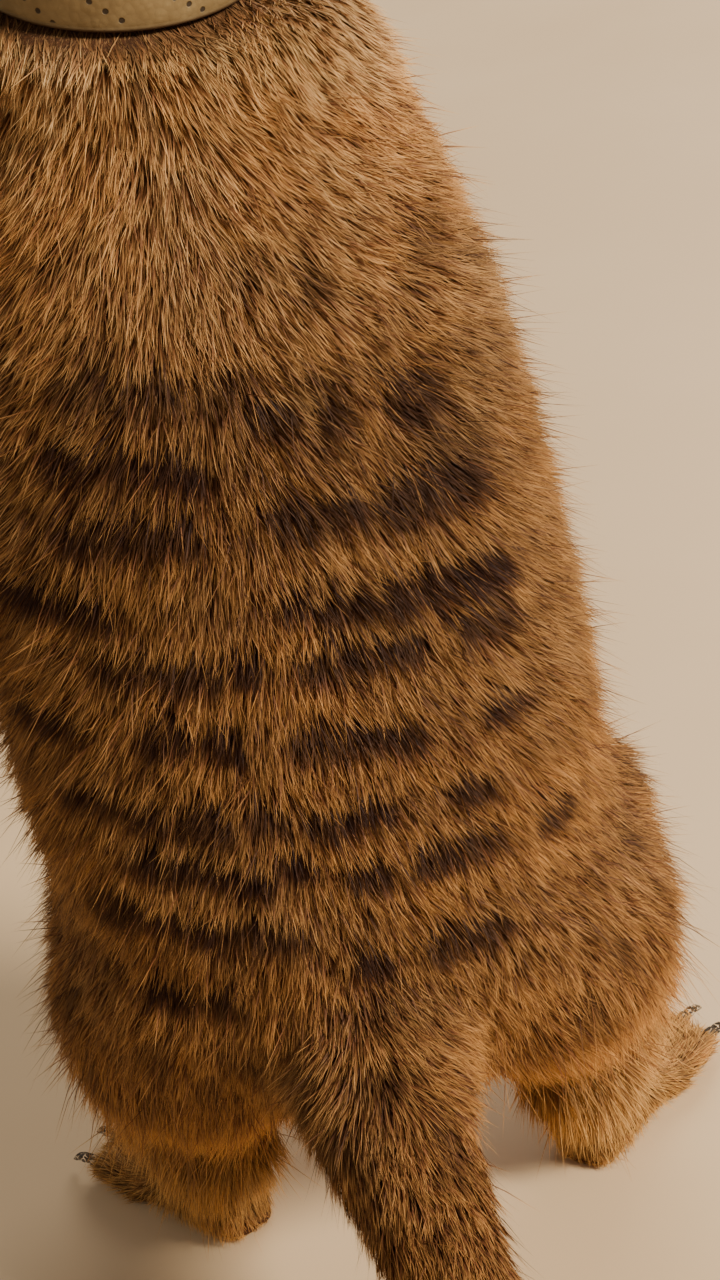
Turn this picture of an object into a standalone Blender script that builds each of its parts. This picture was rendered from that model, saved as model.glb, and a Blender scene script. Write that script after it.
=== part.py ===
"""A life-size meerkat sitting up on its haunches, in a wide leather collar.

The animal faces -Y, its left side is +X and the floor is z = 0. Every size is the size of the coat,
out to the tips of the fur. The body is modelled whole, as lofted masses fused into one surface, and
is then parted with thin cuts into the pieces that a person would name.
"""

import math
from collections import namedtuple

import bmesh
import bpy
from mathutils import Matrix, Vector

MM = 0.001
GAP = 0.3 * MM
SIDES = {"left": 1, "right": -1}

# ---- sizes, in millimetres ---------------------------------------------------------------------

# The trunk's level sections, from the pelvis up to the top of the neck.
Level = namedtuple("Level", "height half_width front back")
TRUNK = (
    Level(29, 12, -12, 16),
    Level(37, 27, -30, 31),
    Level(55, 39, -45, 42),
    Level(80, 49.5, -52, 45),
    Level(110, 52, -54, 42),
    Level(145, 50, -50, 36),
    Level(180, 46, -46, 30),
    Level(205, 42, -41, 25),
    Level(222, 38, -35, 22),
    Level(234, 29.5, -30.5, 20),
    Level(248, 24, -29, 18.5),
    Level(274, 22, -27, 17),
)

# The head's cross-sections, from the occiput to the nose, about an axis at the height of the lips.
Section = namedtuple("Section", "forward half_width top bottom")
HEAD = (
    Section(-32, 8, 6, 6),
    Section(-28, 16.5, 14, 14),
    Section(-19, 23.5, 20.5, 20),
    Section(-7, 27, 24, 23),
    Section(4, 27, 22.5, 22.5),
    Section(12, 22, 17.6, 19.5),
    Section(19, 16.4, 12.4, 16.2),
    Section(26, 12, 8.4, 13.2),
    Section(33, 9.2, 6.0, 10.6),
    Section(39, 7.0, 4.0, 6.6),
    Section(42, 4.2, 2.2, 3.2),
)
HEAD_AT = (0, -10, 282)
HEAD_PITCH = 3
HEAD_SCALE = 1.07
# Small masses on the head: (side or 0 for the middle, sideways, forward, up, three radii).
Mass = namedtuple("Mass", "paired sideways forward up radii")
HEAD_MASSES = (
    Mass(True, 14.5, 4, -8, (12.5, 15, 13)),
    Mass(True, 11.5, 10, 12, (8, 8, 6)),
    Mass(True, 4.6, 34, -3.6, (5.2, 7, 5)),
    Mass(False, 0, 28, -9.5, (6.6, 9, 5)),
)

EYE_RADIUS = 5
EYE_AT = (14.3, 15.6, 5.2)
NOSE_AT = (0, 40.6, 0.6)
NOSE_RADII = (4.4, 3.2, 3.4)
EAR_AT = (25.5, -9, 1.5)
EAR_RADII = (4.3, 7.2, 9.8)
EAR_CUP_RADII = (3.5, 5.4, 7.8)
EAR_TURN = 28

# Limbs are chains of round sections: (sideways, back, height, radius).
FLANK = ((35, -8, 78), (19, 34, 38))
THIGH = ((20, 10, 71, 31), (32, -5, 52, 30.5), (43.5, -33, 54, 19))
SHANK = ((43.5, -33, 50, 16), (42, -11, 35, 18), (35.5, 4, 19, 13.5))
UPPER_ARM = ((21, -12, 208, 17), (29.5, -24, 190, 14.5), (36.5, -37, 168, 12))
FOREARM = ((36.5, -37, 168, 11.5), (31.5, -55, 157, 9.8), (24, -69, 145, 8))
TAIL = (
    (0, 22, 68, 23),
    (-0.5, 42, 58, 18.5),
    (-3, 57, 47, 14),
    (-7, 74, 35, 11.6),
    (-11, 94, 24, 10.4),
    (-15.5, 116, 15, 9.8),
    (-19, 140, 9.4, 9.2),
    (-20.5, 164, 7.6, 8.8),
    (-19, 188, 6.9, 8.2),
    (-15, 206, 6, 7.2),
    (-11, 217, 4.8, 5.8),
)

# A foot is a wedge from the heel to the ball, with four toes fanned in front of it.
Paw = namedtuple("Paw", "tread toe_radius toe_spread toe_fan toe_lengths claw_length claw_radius")
Tread = namedtuple("Tread", "along half_width thick")
HIND_PAW = Paw(
    (Tread(-1, 6.4, 12), Tread(5, 9, 16), Tread(15, 9.6, 14.5), Tread(24, 11.4, 11.5), Tread(29, 11.4, 8.5)),
    4, 5.9, 6, (11.5, 14, 14, 11.5), 9, 1.5,
)
HEEL_AT = (32.5, 11.5)
FOOT_SPLAY = 36
FORE_PAW = Paw(
    (Tread(-5, 7, 12), Tread(3, 8, 12), Tread(11, 9.4, 10.5), Tread(16, 9.4, 8)),
    3.2, 4.9, 7, (8, 10, 10, 7.5), 15, 1.4,
)
CLAW_BEND = 55

COLLAR_AT = (0, -5.6, 246.8)
COLLAR_TILT = -10.8
COLLAR_HANG = 10.6
COLLAR_HALF_WIDTH = 20.6
COLLAR_HALF_DEPTH = 21.1
COLLAR_THICK = 2.4
COLLAR_WIDE = 14
BUCKLE_WIDE = 19
BUCKLE_TALL = 19
BUCKLE_BAR = 2.4

# How fine the surface is.
VOXEL = 1.25
AROUND = 28
SOFT_PASSES = 34
CRISP_PASSES = 5
BODY_TRIANGLES = 2780


# ---- shaping -----------------------------------------------------------------------------------

def spaced(stations, steps):
    """Stations filled in between with a Catmull-Rom curve, steps to each gap."""
    rows = [[float(value) for value in station] for station in stations]
    rows = [rows[0], *rows, rows[-1]]
    filled = []
    for before, start, end, after in zip(rows, rows[1:], rows[2:], rows[3:]):
        for step in range(steps):
            t = step / steps
            filled.append([
                0.5 * (2 * b + (c - a) * t + (2 * a - 5 * b + 4 * c - d) * t**2
                       + (3 * b - a - 3 * c + d) * t**3)
                for a, b, c, d in zip(before, start, end, after)
            ])
    filled.append(rows[-1])
    return filled


def rounded(angle, power=2.2):
    """A point on a unit superellipse."""
    c, s = math.cos(angle), math.sin(angle)
    return (
        math.copysign(abs(c) ** (2 / power), c),
        math.copysign(abs(s) ** (2 / power), s),
    )


def loft(rings):
    """A closed mesh through rings of points, with a pole at the middle of each end ring."""
    mesh = bmesh.new()
    loops = [[mesh.verts.new(point) for point in ring] for ring in rings]
    for lower, upper in zip(loops, loops[1:]):
        for i in range(len(lower)):
            j = (i + 1) % len(lower)
            mesh.faces.new((lower[i], lower[j], upper[j], upper[i]))
    for loop in (loops[0], loops[-1]):
        middle = sum((v.co for v in loop), Vector()) / len(loop)
        pole = mesh.verts.new(middle)
        for i in range(len(loop)):
            mesh.faces.new((loop[i], loop[(i + 1) % len(loop)], pole))
    bmesh.ops.recalc_face_normals(mesh, faces=mesh.faces)
    return mesh


def chain(stations, steps=5, around=AROUND, grow=0.0):
    """A limb: round sections square to a smooth path, with domed ends."""
    rows = spaced(stations, steps)
    points = [Vector(row[:3]) * MM for row in rows]
    radii = [(row[3] + grow) * MM for row in rows]
    first, last = points[1] - points[0], points[-1] - points[-2]
    dome = [math.radians(angle) for angle in ((80, 60, 40, 20) if around > 12 else (75, 40))]
    before, after = first.normalized() * radii[0], last.normalized() * radii[-1]
    sections = [(points[0] - before * math.sin(a), radii[0] * math.cos(a)) for a in dome]
    sections += list(zip(points, radii))
    sections += [
        (points[-1] + after * math.sin(a), radii[-1] * math.cos(a)) for a in reversed(dome)
    ]
    rings = []
    across = Vector((1, 0, 0))
    for i, (centre, radius) in enumerate(sections):
        ahead = sections[min(i + 1, len(sections) - 1)][0] - sections[max(i - 1, 0)][0]
        up = ahead.cross(across).normalized()
        across = up.cross(ahead).normalized()
        turns = [2 * math.pi * k / around for k in range(around)]
        rings.append([centre + (across * math.cos(a) + up * math.sin(a)) * radius for a in turns])
    return loft(rings)


def ellipsoid(centre, radii, grow=0.0, turn=None, fine=3):
    """An icosphere stretched to three radii, in millimetres, and turned about its centre."""
    mesh = bmesh.new()
    bmesh.ops.create_icosphere(mesh, subdivisions=fine, radius=1)
    stretch = Matrix.Diagonal([(radius + grow) * MM for radius in radii] + [1])
    place = Matrix.Translation(Vector(centre) * MM) @ (turn or Matrix()) @ stretch
    bmesh.ops.transform(mesh, matrix=place, verts=mesh.verts)
    return mesh


def head_frame():
    """The matrix from (sideways, forward, up) on the head to the model, in metres."""
    pitch = Matrix.Rotation(math.radians(-HEAD_PITCH), 4, "X")
    axes = Matrix(((1, 0, 0, 0), (0, -1, 0, 0), (0, 0, 1, 0), (0, 0, 0, 1)))
    size = Matrix.Diagonal((HEAD_SCALE, HEAD_SCALE, HEAD_SCALE, 1))
    return Matrix.Translation(Vector(HEAD_AT) * MM) @ pitch @ size @ axes


def placed(mesh, matrix):
    """The mesh moved by the matrix, with its faces kept pointing out where the matrix mirrors it."""
    bmesh.ops.transform(mesh, matrix=matrix, verts=mesh.verts)
    bmesh.ops.recalc_face_normals(mesh, faces=mesh.faces)
    return mesh


def mirrored(stations, side):
    return [(side * x, *rest) for x, *rest in stations]


# ---- the masses of the body --------------------------------------------------------------------

def trunk_mass():
    rings = []
    for height, half_width, front, back in spaced(TRUNK, 4):
        middle, half_depth = (front + back) / 2, (back - front) / 2
        corners = [rounded(2 * math.pi * k / 48) for k in range(48)]
        rings.append([Vector((c * half_width, middle + s * half_depth, height)) * MM for c, s in corners])
    return loft(rings)


def head_mass():
    rings = []
    for forward, half_width, top, bottom in spaced(HEAD, 4):
        corners = [rounded(2 * math.pi * k / 40, 2.1) for k in range(40)]
        rings.append(
            [Vector((c * half_width, forward, s * (top if s > 0 else bottom))) * MM for c, s in corners]
        )
    return placed(loft(rings), head_frame())


def head_masses():
    for mass in HEAD_MASSES:
        for side in (1, -1) if mass.paired else (1,):
            centre = (side * mass.sideways, mass.forward, mass.up)
            yield placed(ellipsoid(centre, mass.radii), head_frame())


def paw_frame(name, side):
    """The matrix from (sideways, along the toes, up off the sole) to the model, in metres."""
    if name == "hind":
        turn = Matrix.Rotation(math.radians(side * FOOT_SPLAY), 4, "Z")
        axes = Matrix(((1, 0, 0, 0), (0, -1, 0, 0), (0, 0, 1, 0), (0, 0, 0, 1)))
        return Matrix.Translation(Vector((side * HEEL_AT[0], HEEL_AT[1], 0)) * MM) @ turn @ axes
    wrist, bent = Vector(FOREARM[-1][:3]), Vector(FOREARM[-1][:3]) - Vector(FOREARM[-2][:3])
    along = Vector((bent.x * 0.5, bent.y * 0.75, bent.z * 2.2)).normalized()
    up = Vector((0, -1, 0)) - along * along.dot(Vector((0, -1, 0)))
    up.normalize()
    across = along.cross(up)
    axes = Matrix((across, along, up)).transposed().to_4x4()
    sole = wrist - up * FORE_PAW.tread[0].thick / 2
    mirror = Matrix.Diagonal((side, 1, 1, 1))
    return mirror @ Matrix.Translation(sole * MM) @ axes


def toes(paw):
    """For each toe: its base, its tip and its direction on the paw."""
    count = len(paw.toe_lengths)
    for i, length in enumerate(paw.toe_lengths):
        place = i - (count - 1) / 2
        fan = math.radians(place * paw.toe_fan)
        ahead = Vector((math.sin(fan), math.cos(fan), 0))
        base = Vector((place * paw.toe_spread, paw.tread[-1].along - 4, paw.toe_radius * 0.95))
        yield base, base + ahead * (length + 4 - paw.toe_radius), ahead


def paw_masses(name, paw, side):
    frame = paw_frame(name, side)
    rings = []
    for along, half_width, thick in spaced(paw.tread, 4):
        corners = [rounded(2 * math.pi * k / AROUND, 2.5) for k in range(AROUND)]
        rings.append([Vector((c * half_width, along, (s * 0.5 + 0.44) * thick)) * MM for c, s in corners])
    yield placed(loft(rings), frame)
    for base, tip, _ in toes(paw):
        knuckle = base.lerp(tip, 0.45) + Vector((0, 0, 0.9))
        radius = paw.toe_radius
        stations = ((*base, radius), (*knuckle, radius), (*tip, radius * 0.9))
        yield placed(chain(stations, 3, 16), frame)


def body_masses():
    yield trunk_mass()
    yield head_mass()
    yield from head_masses()
    yield chain(TAIL, 4)
    for side in SIDES.values():
        (sideways, back, up), radii = FLANK
        yield ellipsoid((side * sideways, back, up), radii)
        for limb in (THIGH, SHANK, UPPER_ARM, FOREARM):
            yield chain(mirrored(limb, side))
        yield from paw_masses("hind", HIND_PAW, side)
        yield from paw_masses("fore", FORE_PAW, side)


# ---- objects and modifiers ---------------------------------------------------------------------

def add(name, mesh):
    """A bmesh as an object of the scene."""
    data = bpy.data.meshes.new(name)
    mesh.to_mesh(data)
    mesh.free()
    made = bpy.data.objects.new(name, data)
    bpy.context.scene.collection.objects.link(made)
    return made


def settle(thing):
    """The object's modifiers applied."""
    graph = bpy.context.evaluated_depsgraph_get()
    shaped = bpy.data.meshes.new_from_object(thing.evaluated_get(graph))
    thing.modifiers.clear()
    thing.data = shaped
    return thing


def twin(thing, name):
    made = thing.copy()
    made.data = thing.data.copy()
    made.name = name
    bpy.context.scene.collection.objects.link(made)
    return made


def combine(thing, other, operation):
    """The Boolean of the two, on the first. It is the EXACT solver's."""
    cut = thing.modifiers.new(operation.title(), "BOOLEAN")
    cut.operation = operation
    cut.object = other
    return settle(thing)


def grown(thing, name, by=GAP):
    """A copy that stands out by a gap all round."""
    made = twin(thing, name)
    swell = made.modifiers.new("Swell", "DISPLACE")
    swell.mid_level = 0
    swell.strength = by
    return settle(made)


def remove(*things):
    for thing in things:
        bpy.data.objects.remove(thing)


def part_off(body, region, name):
    """Cuts what lies in the region out of the body, as an object of its own, with a gap between."""
    piece = combine(twin(body, name), region, "INTERSECT")
    wider = grown(region, "cutter")
    combine(body, wider, "DIFFERENCE")
    remove(region, wider)
    return piece


def half_space(point, normal, size=700):
    """A block that fills the side of a plane that its normal points to."""
    block = bmesh.new()
    bmesh.ops.create_cube(block, size=size * MM)
    facing = Vector(normal).normalized()
    lift = Matrix.Translation(Vector(point) * MM + facing * size * MM / 2)
    turn = Vector((0, 0, 1)).rotation_difference(facing).to_matrix().to_4x4()
    bmesh.ops.transform(block, matrix=lift @ turn, verts=block.verts)
    return add("cutter", block)


def slice_off(body, point, normal, name):
    """Parts the body along a plane: what lies past it becomes an object of its own."""
    piece = combine(twin(body, name), half_space(point, normal), "INTERSECT")
    facing = Vector(normal).normalized()
    nearer = half_space(Vector(point) - facing * GAP / MM, normal)
    combine(body, nearer, "DIFFERENCE")
    for thing in [o for o in bpy.data.objects if o.name.startswith("cutter")]:
        remove(thing)
    return piece


# ---- the body, whole and then parted -----------------------------------------------------------

def crispness(point):
    """1 on the head, the paws and the tail's end, which keep their form, and 0 on the soft body."""
    nose_ward = (-point.y / MM - 8) / 12 if point.z > 250 * MM else 0
    head = min(max(nose_ward, (point.z / MM - 268) / 10), 1)
    foot = (22 - point.z / MM) / 8 if point.y < 30 * MM else 0
    hand = (-point.y / MM - 58) / 8 if point.z < 170 * MM else 0
    tail = (point.y / MM - 60) / 30
    return min(max(head, foot, hand, tail, 0), 1)


def whole_body():
    """All the masses fused into one closed surface, its joins softened."""
    joined = bmesh.new()
    for mass in body_masses():
        data = bpy.data.meshes.new("mass")
        mass.to_mesh(data)
        mass.free()
        joined.from_mesh(data)
        bpy.data.meshes.remove(data)
    body = add("body", joined)
    fuse = body.modifiers.new("Fuse", "REMESH")
    fuse.mode = "VOXEL"
    fuse.voxel_size = VOXEL * MM
    settle(body)
    soft = body.vertex_groups.new(name="soft")
    for vertex in body.data.vertices:
        soft.add([vertex.index], 1 - crispness(vertex.co), "REPLACE")
    for group, passes in (("soft", SOFT_PASSES), ("", CRISP_PASSES)):
        melt = body.modifiers.new("Melt", "SMOOTH")
        melt.factor = 0.5
        melt.iterations = passes
        melt.vertex_group = group
    settle(body)
    thin = body.modifiers.new("Thin", "DECIMATE")
    thin.ratio = BODY_TRIANGLES / (2 * len(body.data.polygons))
    settle(body)
    body.vertex_groups.clear()
    floor = half_space((0, 0, 0), (0, 0, -1))
    combine(body, floor, "DIFFERENCE")
    remove(floor)
    return body


def haunch_region(side):
    """The space of one hind leg: a hull round the thigh, the knee and all the room below them."""
    thigh = ellipsoid((side * 40, -4, 56), (27, 46, 40), fine=2)
    knee = ellipsoid((side * 46, -34, 54), (22, 22, 22), fine=2)
    foot = box((100, 105, 50), (side * 62, -28, -3), Matrix())
    hull = bmesh.new()
    for shape in (thigh, knee, foot):
        for vertex in shape.verts:
            hull.verts.new(vertex.co)
        shape.free()
    bmesh.ops.convex_hull(hull, input=hull.verts)
    loose = [vertex for vertex in hull.verts if not vertex.link_faces]
    bmesh.ops.delete(hull, geom=loose, context="VERTS")
    return add("haunch_space", hull)


def arm_region(side):
    """The space of one arm, wide enough at its end for the fingers."""
    reach = ((22, -14, 197, 15), *UPPER_ARM[1:], *FOREARM[1:], (19, -74, 128, 12), (17, -77, 108, 12))
    return add("arm_space", chain(mirrored(reach, side), 2, 10, grow=3.8))


def part_limbs(body):
    pieces = []
    for word, side in SIDES.items():
        arm = part_off(body, arm_region(side), f"upper_arm_{word}")
        elbow = (side * 37, -44, 164)
        lower = slice_off(arm, elbow, (-side * 0.45, -0.8, -0.45), f"forearm_{word}")
        hand = slice_off(lower, (side * 24, -69, 142.5), (0, -0.25, -1), f"hand_{word}")
        thigh = part_off(body, haunch_region(side), f"thigh_{word}")
        shank = slice_off(thigh, (side * 38, -20, 38), (0, -0.42, -1), f"shank_{word}")
        foot = slice_off(shank, (side * 31, 8, 17), (side * 0.1, -0.35, -1), f"foot_{word}")
        pieces += [arm, lower, hand, thigh, shank, foot]
    return pieces


def part_trunk(body):
    """What is left, from the head down to the tail's tip."""
    head = slice_off(body, (-1.5, -4, 255.4), (-0.18, 0.19, 0.965), "head")
    neck = slice_off(body, (0, -6, 219), (0, -0.1, 1), "neck")
    tail = slice_off(body, (0, 50, 53), (0, 0.8, -0.6), "tail_base")
    middle = slice_off(tail, (-9, 94, 24), (-0.2, 0.9, -0.4), "tail_middle")
    tip = slice_off(middle, (-19, 150, 9), (-0.1, 1, 0), "tail_tip")
    chest = slice_off(body, (0, 0, 158), (0, 0, 1), "chest")
    body.name = "abdomen"
    return {"head": head, "neck": neck}, [tail, middle, tip, chest, body]


# ---- the pieces set into the body --------------------------------------------------------------

def claw(paw, base, tip, ahead, frame, grow=0.0):
    """A tapered claw, bent down towards its point."""
    length, root = paw.claw_length, tip + ahead * (paw.toe_radius * 0.2) + Vector((0, 0, 0.6))
    rings = []
    spot, heading = Vector(root), 0.0
    steps = 3
    for step in range(steps + 1):
        radius = (paw.claw_radius * (1 - step / steps) ** 0.7 + 0.3 + grow) * MM
        forward = ahead * math.cos(heading) - Vector((0, 0, math.sin(heading)))
        across = Vector((0, 0, 1)).cross(ahead)
        up = forward.cross(across)
        turns = [2 * math.pi * k / 5 for k in range(5)]
        rings.append([spot * MM + (across * math.cos(a) * 0.8 + up * math.sin(a)) * radius for a in turns])
        spot = spot + forward * length / steps
        heading += math.radians(CLAW_BEND) / steps
    return placed(loft(rings), frame)


def set_in(host, name, shape, grown_shape):
    """Adds a shape and cuts a seat for it in the host, a gap wider."""
    seat = add("seat", grown_shape)
    combine(host, seat, "DIFFERENCE")
    remove(seat)
    return add(name, shape)


def add_claws(pieces):
    made = []
    for word, side in SIDES.items():
        for place, paw, host in (("hind", HIND_PAW, "foot"), ("fore", FORE_PAW, "hand")):
            frame = paw_frame(place, side)
            for number, (base, tip, ahead) in enumerate(toes(paw), 1):
                name = f"claw_{place}_{word}_{number}"
                shapes = [claw(paw, base, tip, ahead, frame, grow) for grow in (0.0, GAP / MM)]
                made.append(set_in(pieces[f"{host}_{word}"], name, *shapes))
    return made


def ear_shape(side, grow=0.0):
    """A small cupped ear, its hollow open forwards and outwards."""
    turn = Matrix.Rotation(math.radians(side * EAR_TURN), 4, "Z")
    frame = head_frame()
    centre = (side * EAR_AT[0], *EAR_AT[1:])
    return placed(ellipsoid(centre, EAR_RADII, grow, turn, 2), frame)


def ear_cup(side):
    turn = Matrix.Rotation(math.radians(side * EAR_TURN), 4, "Z")
    centre = (side * (EAR_AT[0] + 3.4), EAR_AT[1] + 2.6, EAR_AT[2] + 0.6)
    return placed(ellipsoid(centre, EAR_CUP_RADII, 0, turn, 2), head_frame())


def add_senses(head):
    """The eyes, the ears and the nose pad."""
    made = []
    frame = head_frame()
    for word, side in SIDES.items():
        at = (side * EYE_AT[0], *EYE_AT[1:])
        radii = (EYE_RADIUS,) * 3
        balls = [placed(ellipsoid(at, radii, grow, fine=2), frame) for grow in (0, GAP / MM)]
        made.append(set_in(head, f"eye_{word}", *balls))
        ear = set_in(head, f"ear_{word}", ear_shape(side), ear_shape(side, GAP / MM))
        cup = add("cup", ear_cup(side))
        combine(ear, cup, "DIFFERENCE")
        remove(cup)
        made.append(ear)
    pads = [placed(ellipsoid(NOSE_AT, NOSE_RADII, grow, fine=2), frame) for grow in (0, GAP / MM)]
    made.append(set_in(head, "nose", *pads))
    return made


# ---- the collar --------------------------------------------------------------------------------

def collar_frame():
    tilt = Matrix.Rotation(math.radians(COLLAR_TILT), 4, "X")
    hang = Matrix.Rotation(math.radians(-COLLAR_HANG), 4, "Y")
    return Matrix.Translation(Vector(COLLAR_AT) * MM) @ hang @ tilt


def band(inside, thick, wide, around=28):
    """A closed elliptical strap with softened edges."""
    edge = 0.35
    profile = (
        (0, -0.5), (0, 0.5), (thick * edge, 0.52), (thick, 0.46), (thick, -0.46), (thick * edge, -0.52),
    )
    mesh = bmesh.new()
    loops = []
    for k in range(around):
        angle = 2 * math.pi * k / around
        loop = []
        for out, level in profile:
            x = (COLLAR_HALF_WIDTH + inside + out) * math.cos(angle)
            y = (COLLAR_HALF_DEPTH + inside + out) * math.sin(angle)
            loop.append(mesh.verts.new(Vector((x, y, level * wide)) * MM))
        loops.append(loop)
    for k, loop in enumerate(loops):
        after = loops[(k + 1) % around]
        for i in range(len(profile)):
            j = (i + 1) % len(profile)
            mesh.faces.new((loop[i], loop[j], after[j], after[i]))
    bmesh.ops.recalc_face_normals(mesh, faces=mesh.faces)
    return placed(mesh, collar_frame())


def box(size, centre, frame):
    mesh = bmesh.new()
    bmesh.ops.create_cube(mesh, size=1)
    place = Matrix.Translation(Vector(centre) * MM) @ Matrix.Diagonal([side * MM for side in size] + [1])
    bmesh.ops.transform(mesh, matrix=frame @ place, verts=mesh.verts)
    bmesh.ops.recalc_face_normals(mesh, faces=mesh.faces)
    return mesh


def add_collar(neck, head):
    """The strap in its groove in the fur, and a plain frame buckle at the throat."""
    strap = add("collar", band(0, COLLAR_THICK, COLLAR_WIDE))
    room = add("groove", band(-GAP / MM, COLLAR_THICK + 12, COLLAR_WIDE + 2 * GAP / MM))
    combine(neck, room, "DIFFERENCE")
    remove(room)
    frame = collar_frame()
    front = -(COLLAR_HALF_DEPTH + COLLAR_THICK)
    thick = 2.4
    room = add("room", box((BUCKLE_WIDE + 1, 14, BUCKLE_TALL + 1), (0, front - 6.6, 0), frame))
    for host in (neck, head):
        combine(host, room, "DIFFERENCE")
    remove(room)
    buckle = add("buckle", box((BUCKLE_WIDE, thick, BUCKLE_TALL), (0, front - 1.9, 0), frame))
    window = add("window", box(
        (BUCKLE_WIDE - 2 * BUCKLE_BAR, 3 * thick, BUCKLE_TALL - 2 * BUCKLE_BAR), (0, front - 1.9, 0), frame))
    combine(buckle, window, "DIFFERENCE")
    tongue = add("tongue", box((BUCKLE_WIDE - BUCKLE_BAR, 1.2, 2.2), (0, front - 1.9, 0), frame))
    combine(buckle, tongue, "UNION")
    remove(window, tongue)
    return [strap, buckle]


# ---- materials ---------------------------------------------------------------------------------

def material(name, colour, roughness, metallic=0.0):
    made = bpy.data.materials.new(name)
    made.use_nodes = True
    shader = made.node_tree.nodes["Principled BSDF"]
    shader.inputs["Base Color"].default_value = (*colour, 1)
    shader.inputs["Roughness"].default_value = roughness
    shader.inputs["Metallic"].default_value = metallic
    return made


def finish(thing, coat):
    """One material, and smooth shading with sharp cut edges."""
    thing.data.materials.clear()
    thing.data.materials.append(coat)
    thing.data.shade_smooth()
    thing.data.set_sharp_from_angle(angle=math.radians(40))


def centre_on_floor(things):
    """Slides everything so that the origin is under the middle of the whole."""
    corners = [vertex.co for thing in things for vertex in thing.data.vertices]
    low, high = (Vector([pick(co[i] for co in corners) for i in range(3)]) for pick in (min, max))
    slide = Matrix.Translation((-(low.x + high.x) / 2, -(low.y + high.y) / 2, 0))
    for thing in things:
        thing.data.transform(slide)


def main():
    for old in list(bpy.data.objects):
        bpy.data.objects.remove(old)
    coats = {
        "fur": material("fur", (0.34, 0.19, 0.08), 0.9),
        "face": material("face", (0.5, 0.4, 0.28), 0.9),
        "dark": material("dark_skin", (0.03, 0.02, 0.018), 0.5),
        "claw": material("claw", (0.05, 0.035, 0.025), 0.4),
        "eye": material("eye", (0.02, 0.01, 0.006), 0.05),
        "leather": material("leather", (0.42, 0.32, 0.17), 0.6),
        "metal": material("metal", (0.5, 0.42, 0.28), 0.35, 1.0),
    }
    body = whole_body()
    limbs = {piece.name: piece for piece in part_limbs(body)}
    upper, rest = part_trunk(body)
    claws = add_claws(limbs)
    senses = add_senses(upper["head"])
    leather = add_collar(upper["neck"], upper["head"])
    for piece in (*limbs.values(), *rest, upper["neck"]):
        finish(piece, coats["fur"])
    finish(upper["head"], coats["face"])
    for piece in claws:
        finish(piece, coats["claw"])
    for piece in senses:
        finish(piece, coats["eye"] if piece.name.startswith("eye") else coats["dark"])
    for piece, coat in zip(leather, ("leather", "metal")):
        finish(piece, coats[coat])
    centre_on_floor(list(bpy.data.objects))


main()
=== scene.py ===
"""The looks of a life-size meerkat that sits up with its back to the camera.

One skin replaces the solids of flesh. It lies inside them by the depth of the coat, which is grown on
it as thin tapered tufts. Working sizes are in millimetres, in the animal's own frame: +X is its left,
it faces -Y and the floor is z = 0. The collar's middle ties that frame to the model's.
"""

import math
from collections import namedtuple
from itertools import product

import bmesh
import bpy
import numpy as np
from mathutils import Matrix, Vector
from mathutils.kdtree import KDTree


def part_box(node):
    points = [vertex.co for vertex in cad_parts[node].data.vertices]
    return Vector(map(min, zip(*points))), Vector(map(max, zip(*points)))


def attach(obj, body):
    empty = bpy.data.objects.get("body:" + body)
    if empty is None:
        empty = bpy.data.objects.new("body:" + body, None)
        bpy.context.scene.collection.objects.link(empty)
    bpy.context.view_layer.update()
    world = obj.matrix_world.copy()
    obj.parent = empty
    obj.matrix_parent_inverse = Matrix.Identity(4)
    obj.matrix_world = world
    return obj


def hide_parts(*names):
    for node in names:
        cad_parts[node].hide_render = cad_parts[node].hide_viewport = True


MM = 0.001
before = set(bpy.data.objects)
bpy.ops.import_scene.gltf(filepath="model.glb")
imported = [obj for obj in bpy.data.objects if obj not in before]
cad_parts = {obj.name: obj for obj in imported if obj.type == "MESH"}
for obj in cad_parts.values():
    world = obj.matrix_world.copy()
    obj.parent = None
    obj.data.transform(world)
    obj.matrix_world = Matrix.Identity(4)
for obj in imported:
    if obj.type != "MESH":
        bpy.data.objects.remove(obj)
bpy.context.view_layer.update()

COLLAR_AT = np.array((0, -5.6, 246.8))


def middle(node):
    """A CAD node's centre in the model's frame, in millimetres."""
    low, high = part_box(node)
    return np.array([(a + b) / 2 / MM for a, b in zip(low, high)])


SLIDE = middle("collar") - COLLAR_AT

# ---- sizes ----

HEAD_AT = (0, -10, 282)
HEAD_PITCH = 3
HEAD_SCALE = 1.07
EYE_AT = (14.3, 15.6, 5.2)
EYE_RADIUS = 5.35
GAZE = (0.60, 0.78, 0.10)
LID_OPENING = (60, 39)
LID_SLANT = 10
LID_SHAPE = 1.65
LID_STEP = 0.16
LID_REACH = 118
LID_AROUND = 72
EYE_AROUND = 64
EYE_ROWS = 40
CORNEA_BULGE = 0.035
IRIS = 47
PUPIL = (21, 13)
NOSE_AT = (0, 40.6, 0.6)
NOSE_RADII = (4.4, 3.2, 3.4)
EAR_SEAT_AT = (22.3, -9.5, 1.5)
EAR_SEAT_RADII = (3.4, 6.4, 8.8)
MOUTH = (
    (0, 42.0, -3.6), (2.6, 40.6, -4.9), (5.2, 36, -6.4), (7.6, 30, -7.6), (9.8, 24, -7.6),
    (12.4, 18.5, -5.8),
)
EYE_PATCH_AT = (15.4, 15.2, 4.8)
EYE_PATCH_RADII = (9.6, 11.0, 8.2)
# The lids' edge in steps: how far back from the opening, in radians, and how far off the ball.
LID_RIM = (
    (0.0, 0.02), (0.01, 0.20), (0.03, 0.34), (0.07, 0.42), (0.13, 0.42), (0.21, 0.44), (0.32, 0.48),
)

COLLAR_TILT = -10.8
COLLAR_HANG = 10.6
COLLAR_HALF_WIDTH = 20.6
COLLAR_HALF_DEPTH = 21.1
COLLAR_THICK = 2.4
COLLAR_WIDE = 14
TIP_ANGLES = (-96, -28)
KEEPER_ANGLES = (-62, -51)

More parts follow.
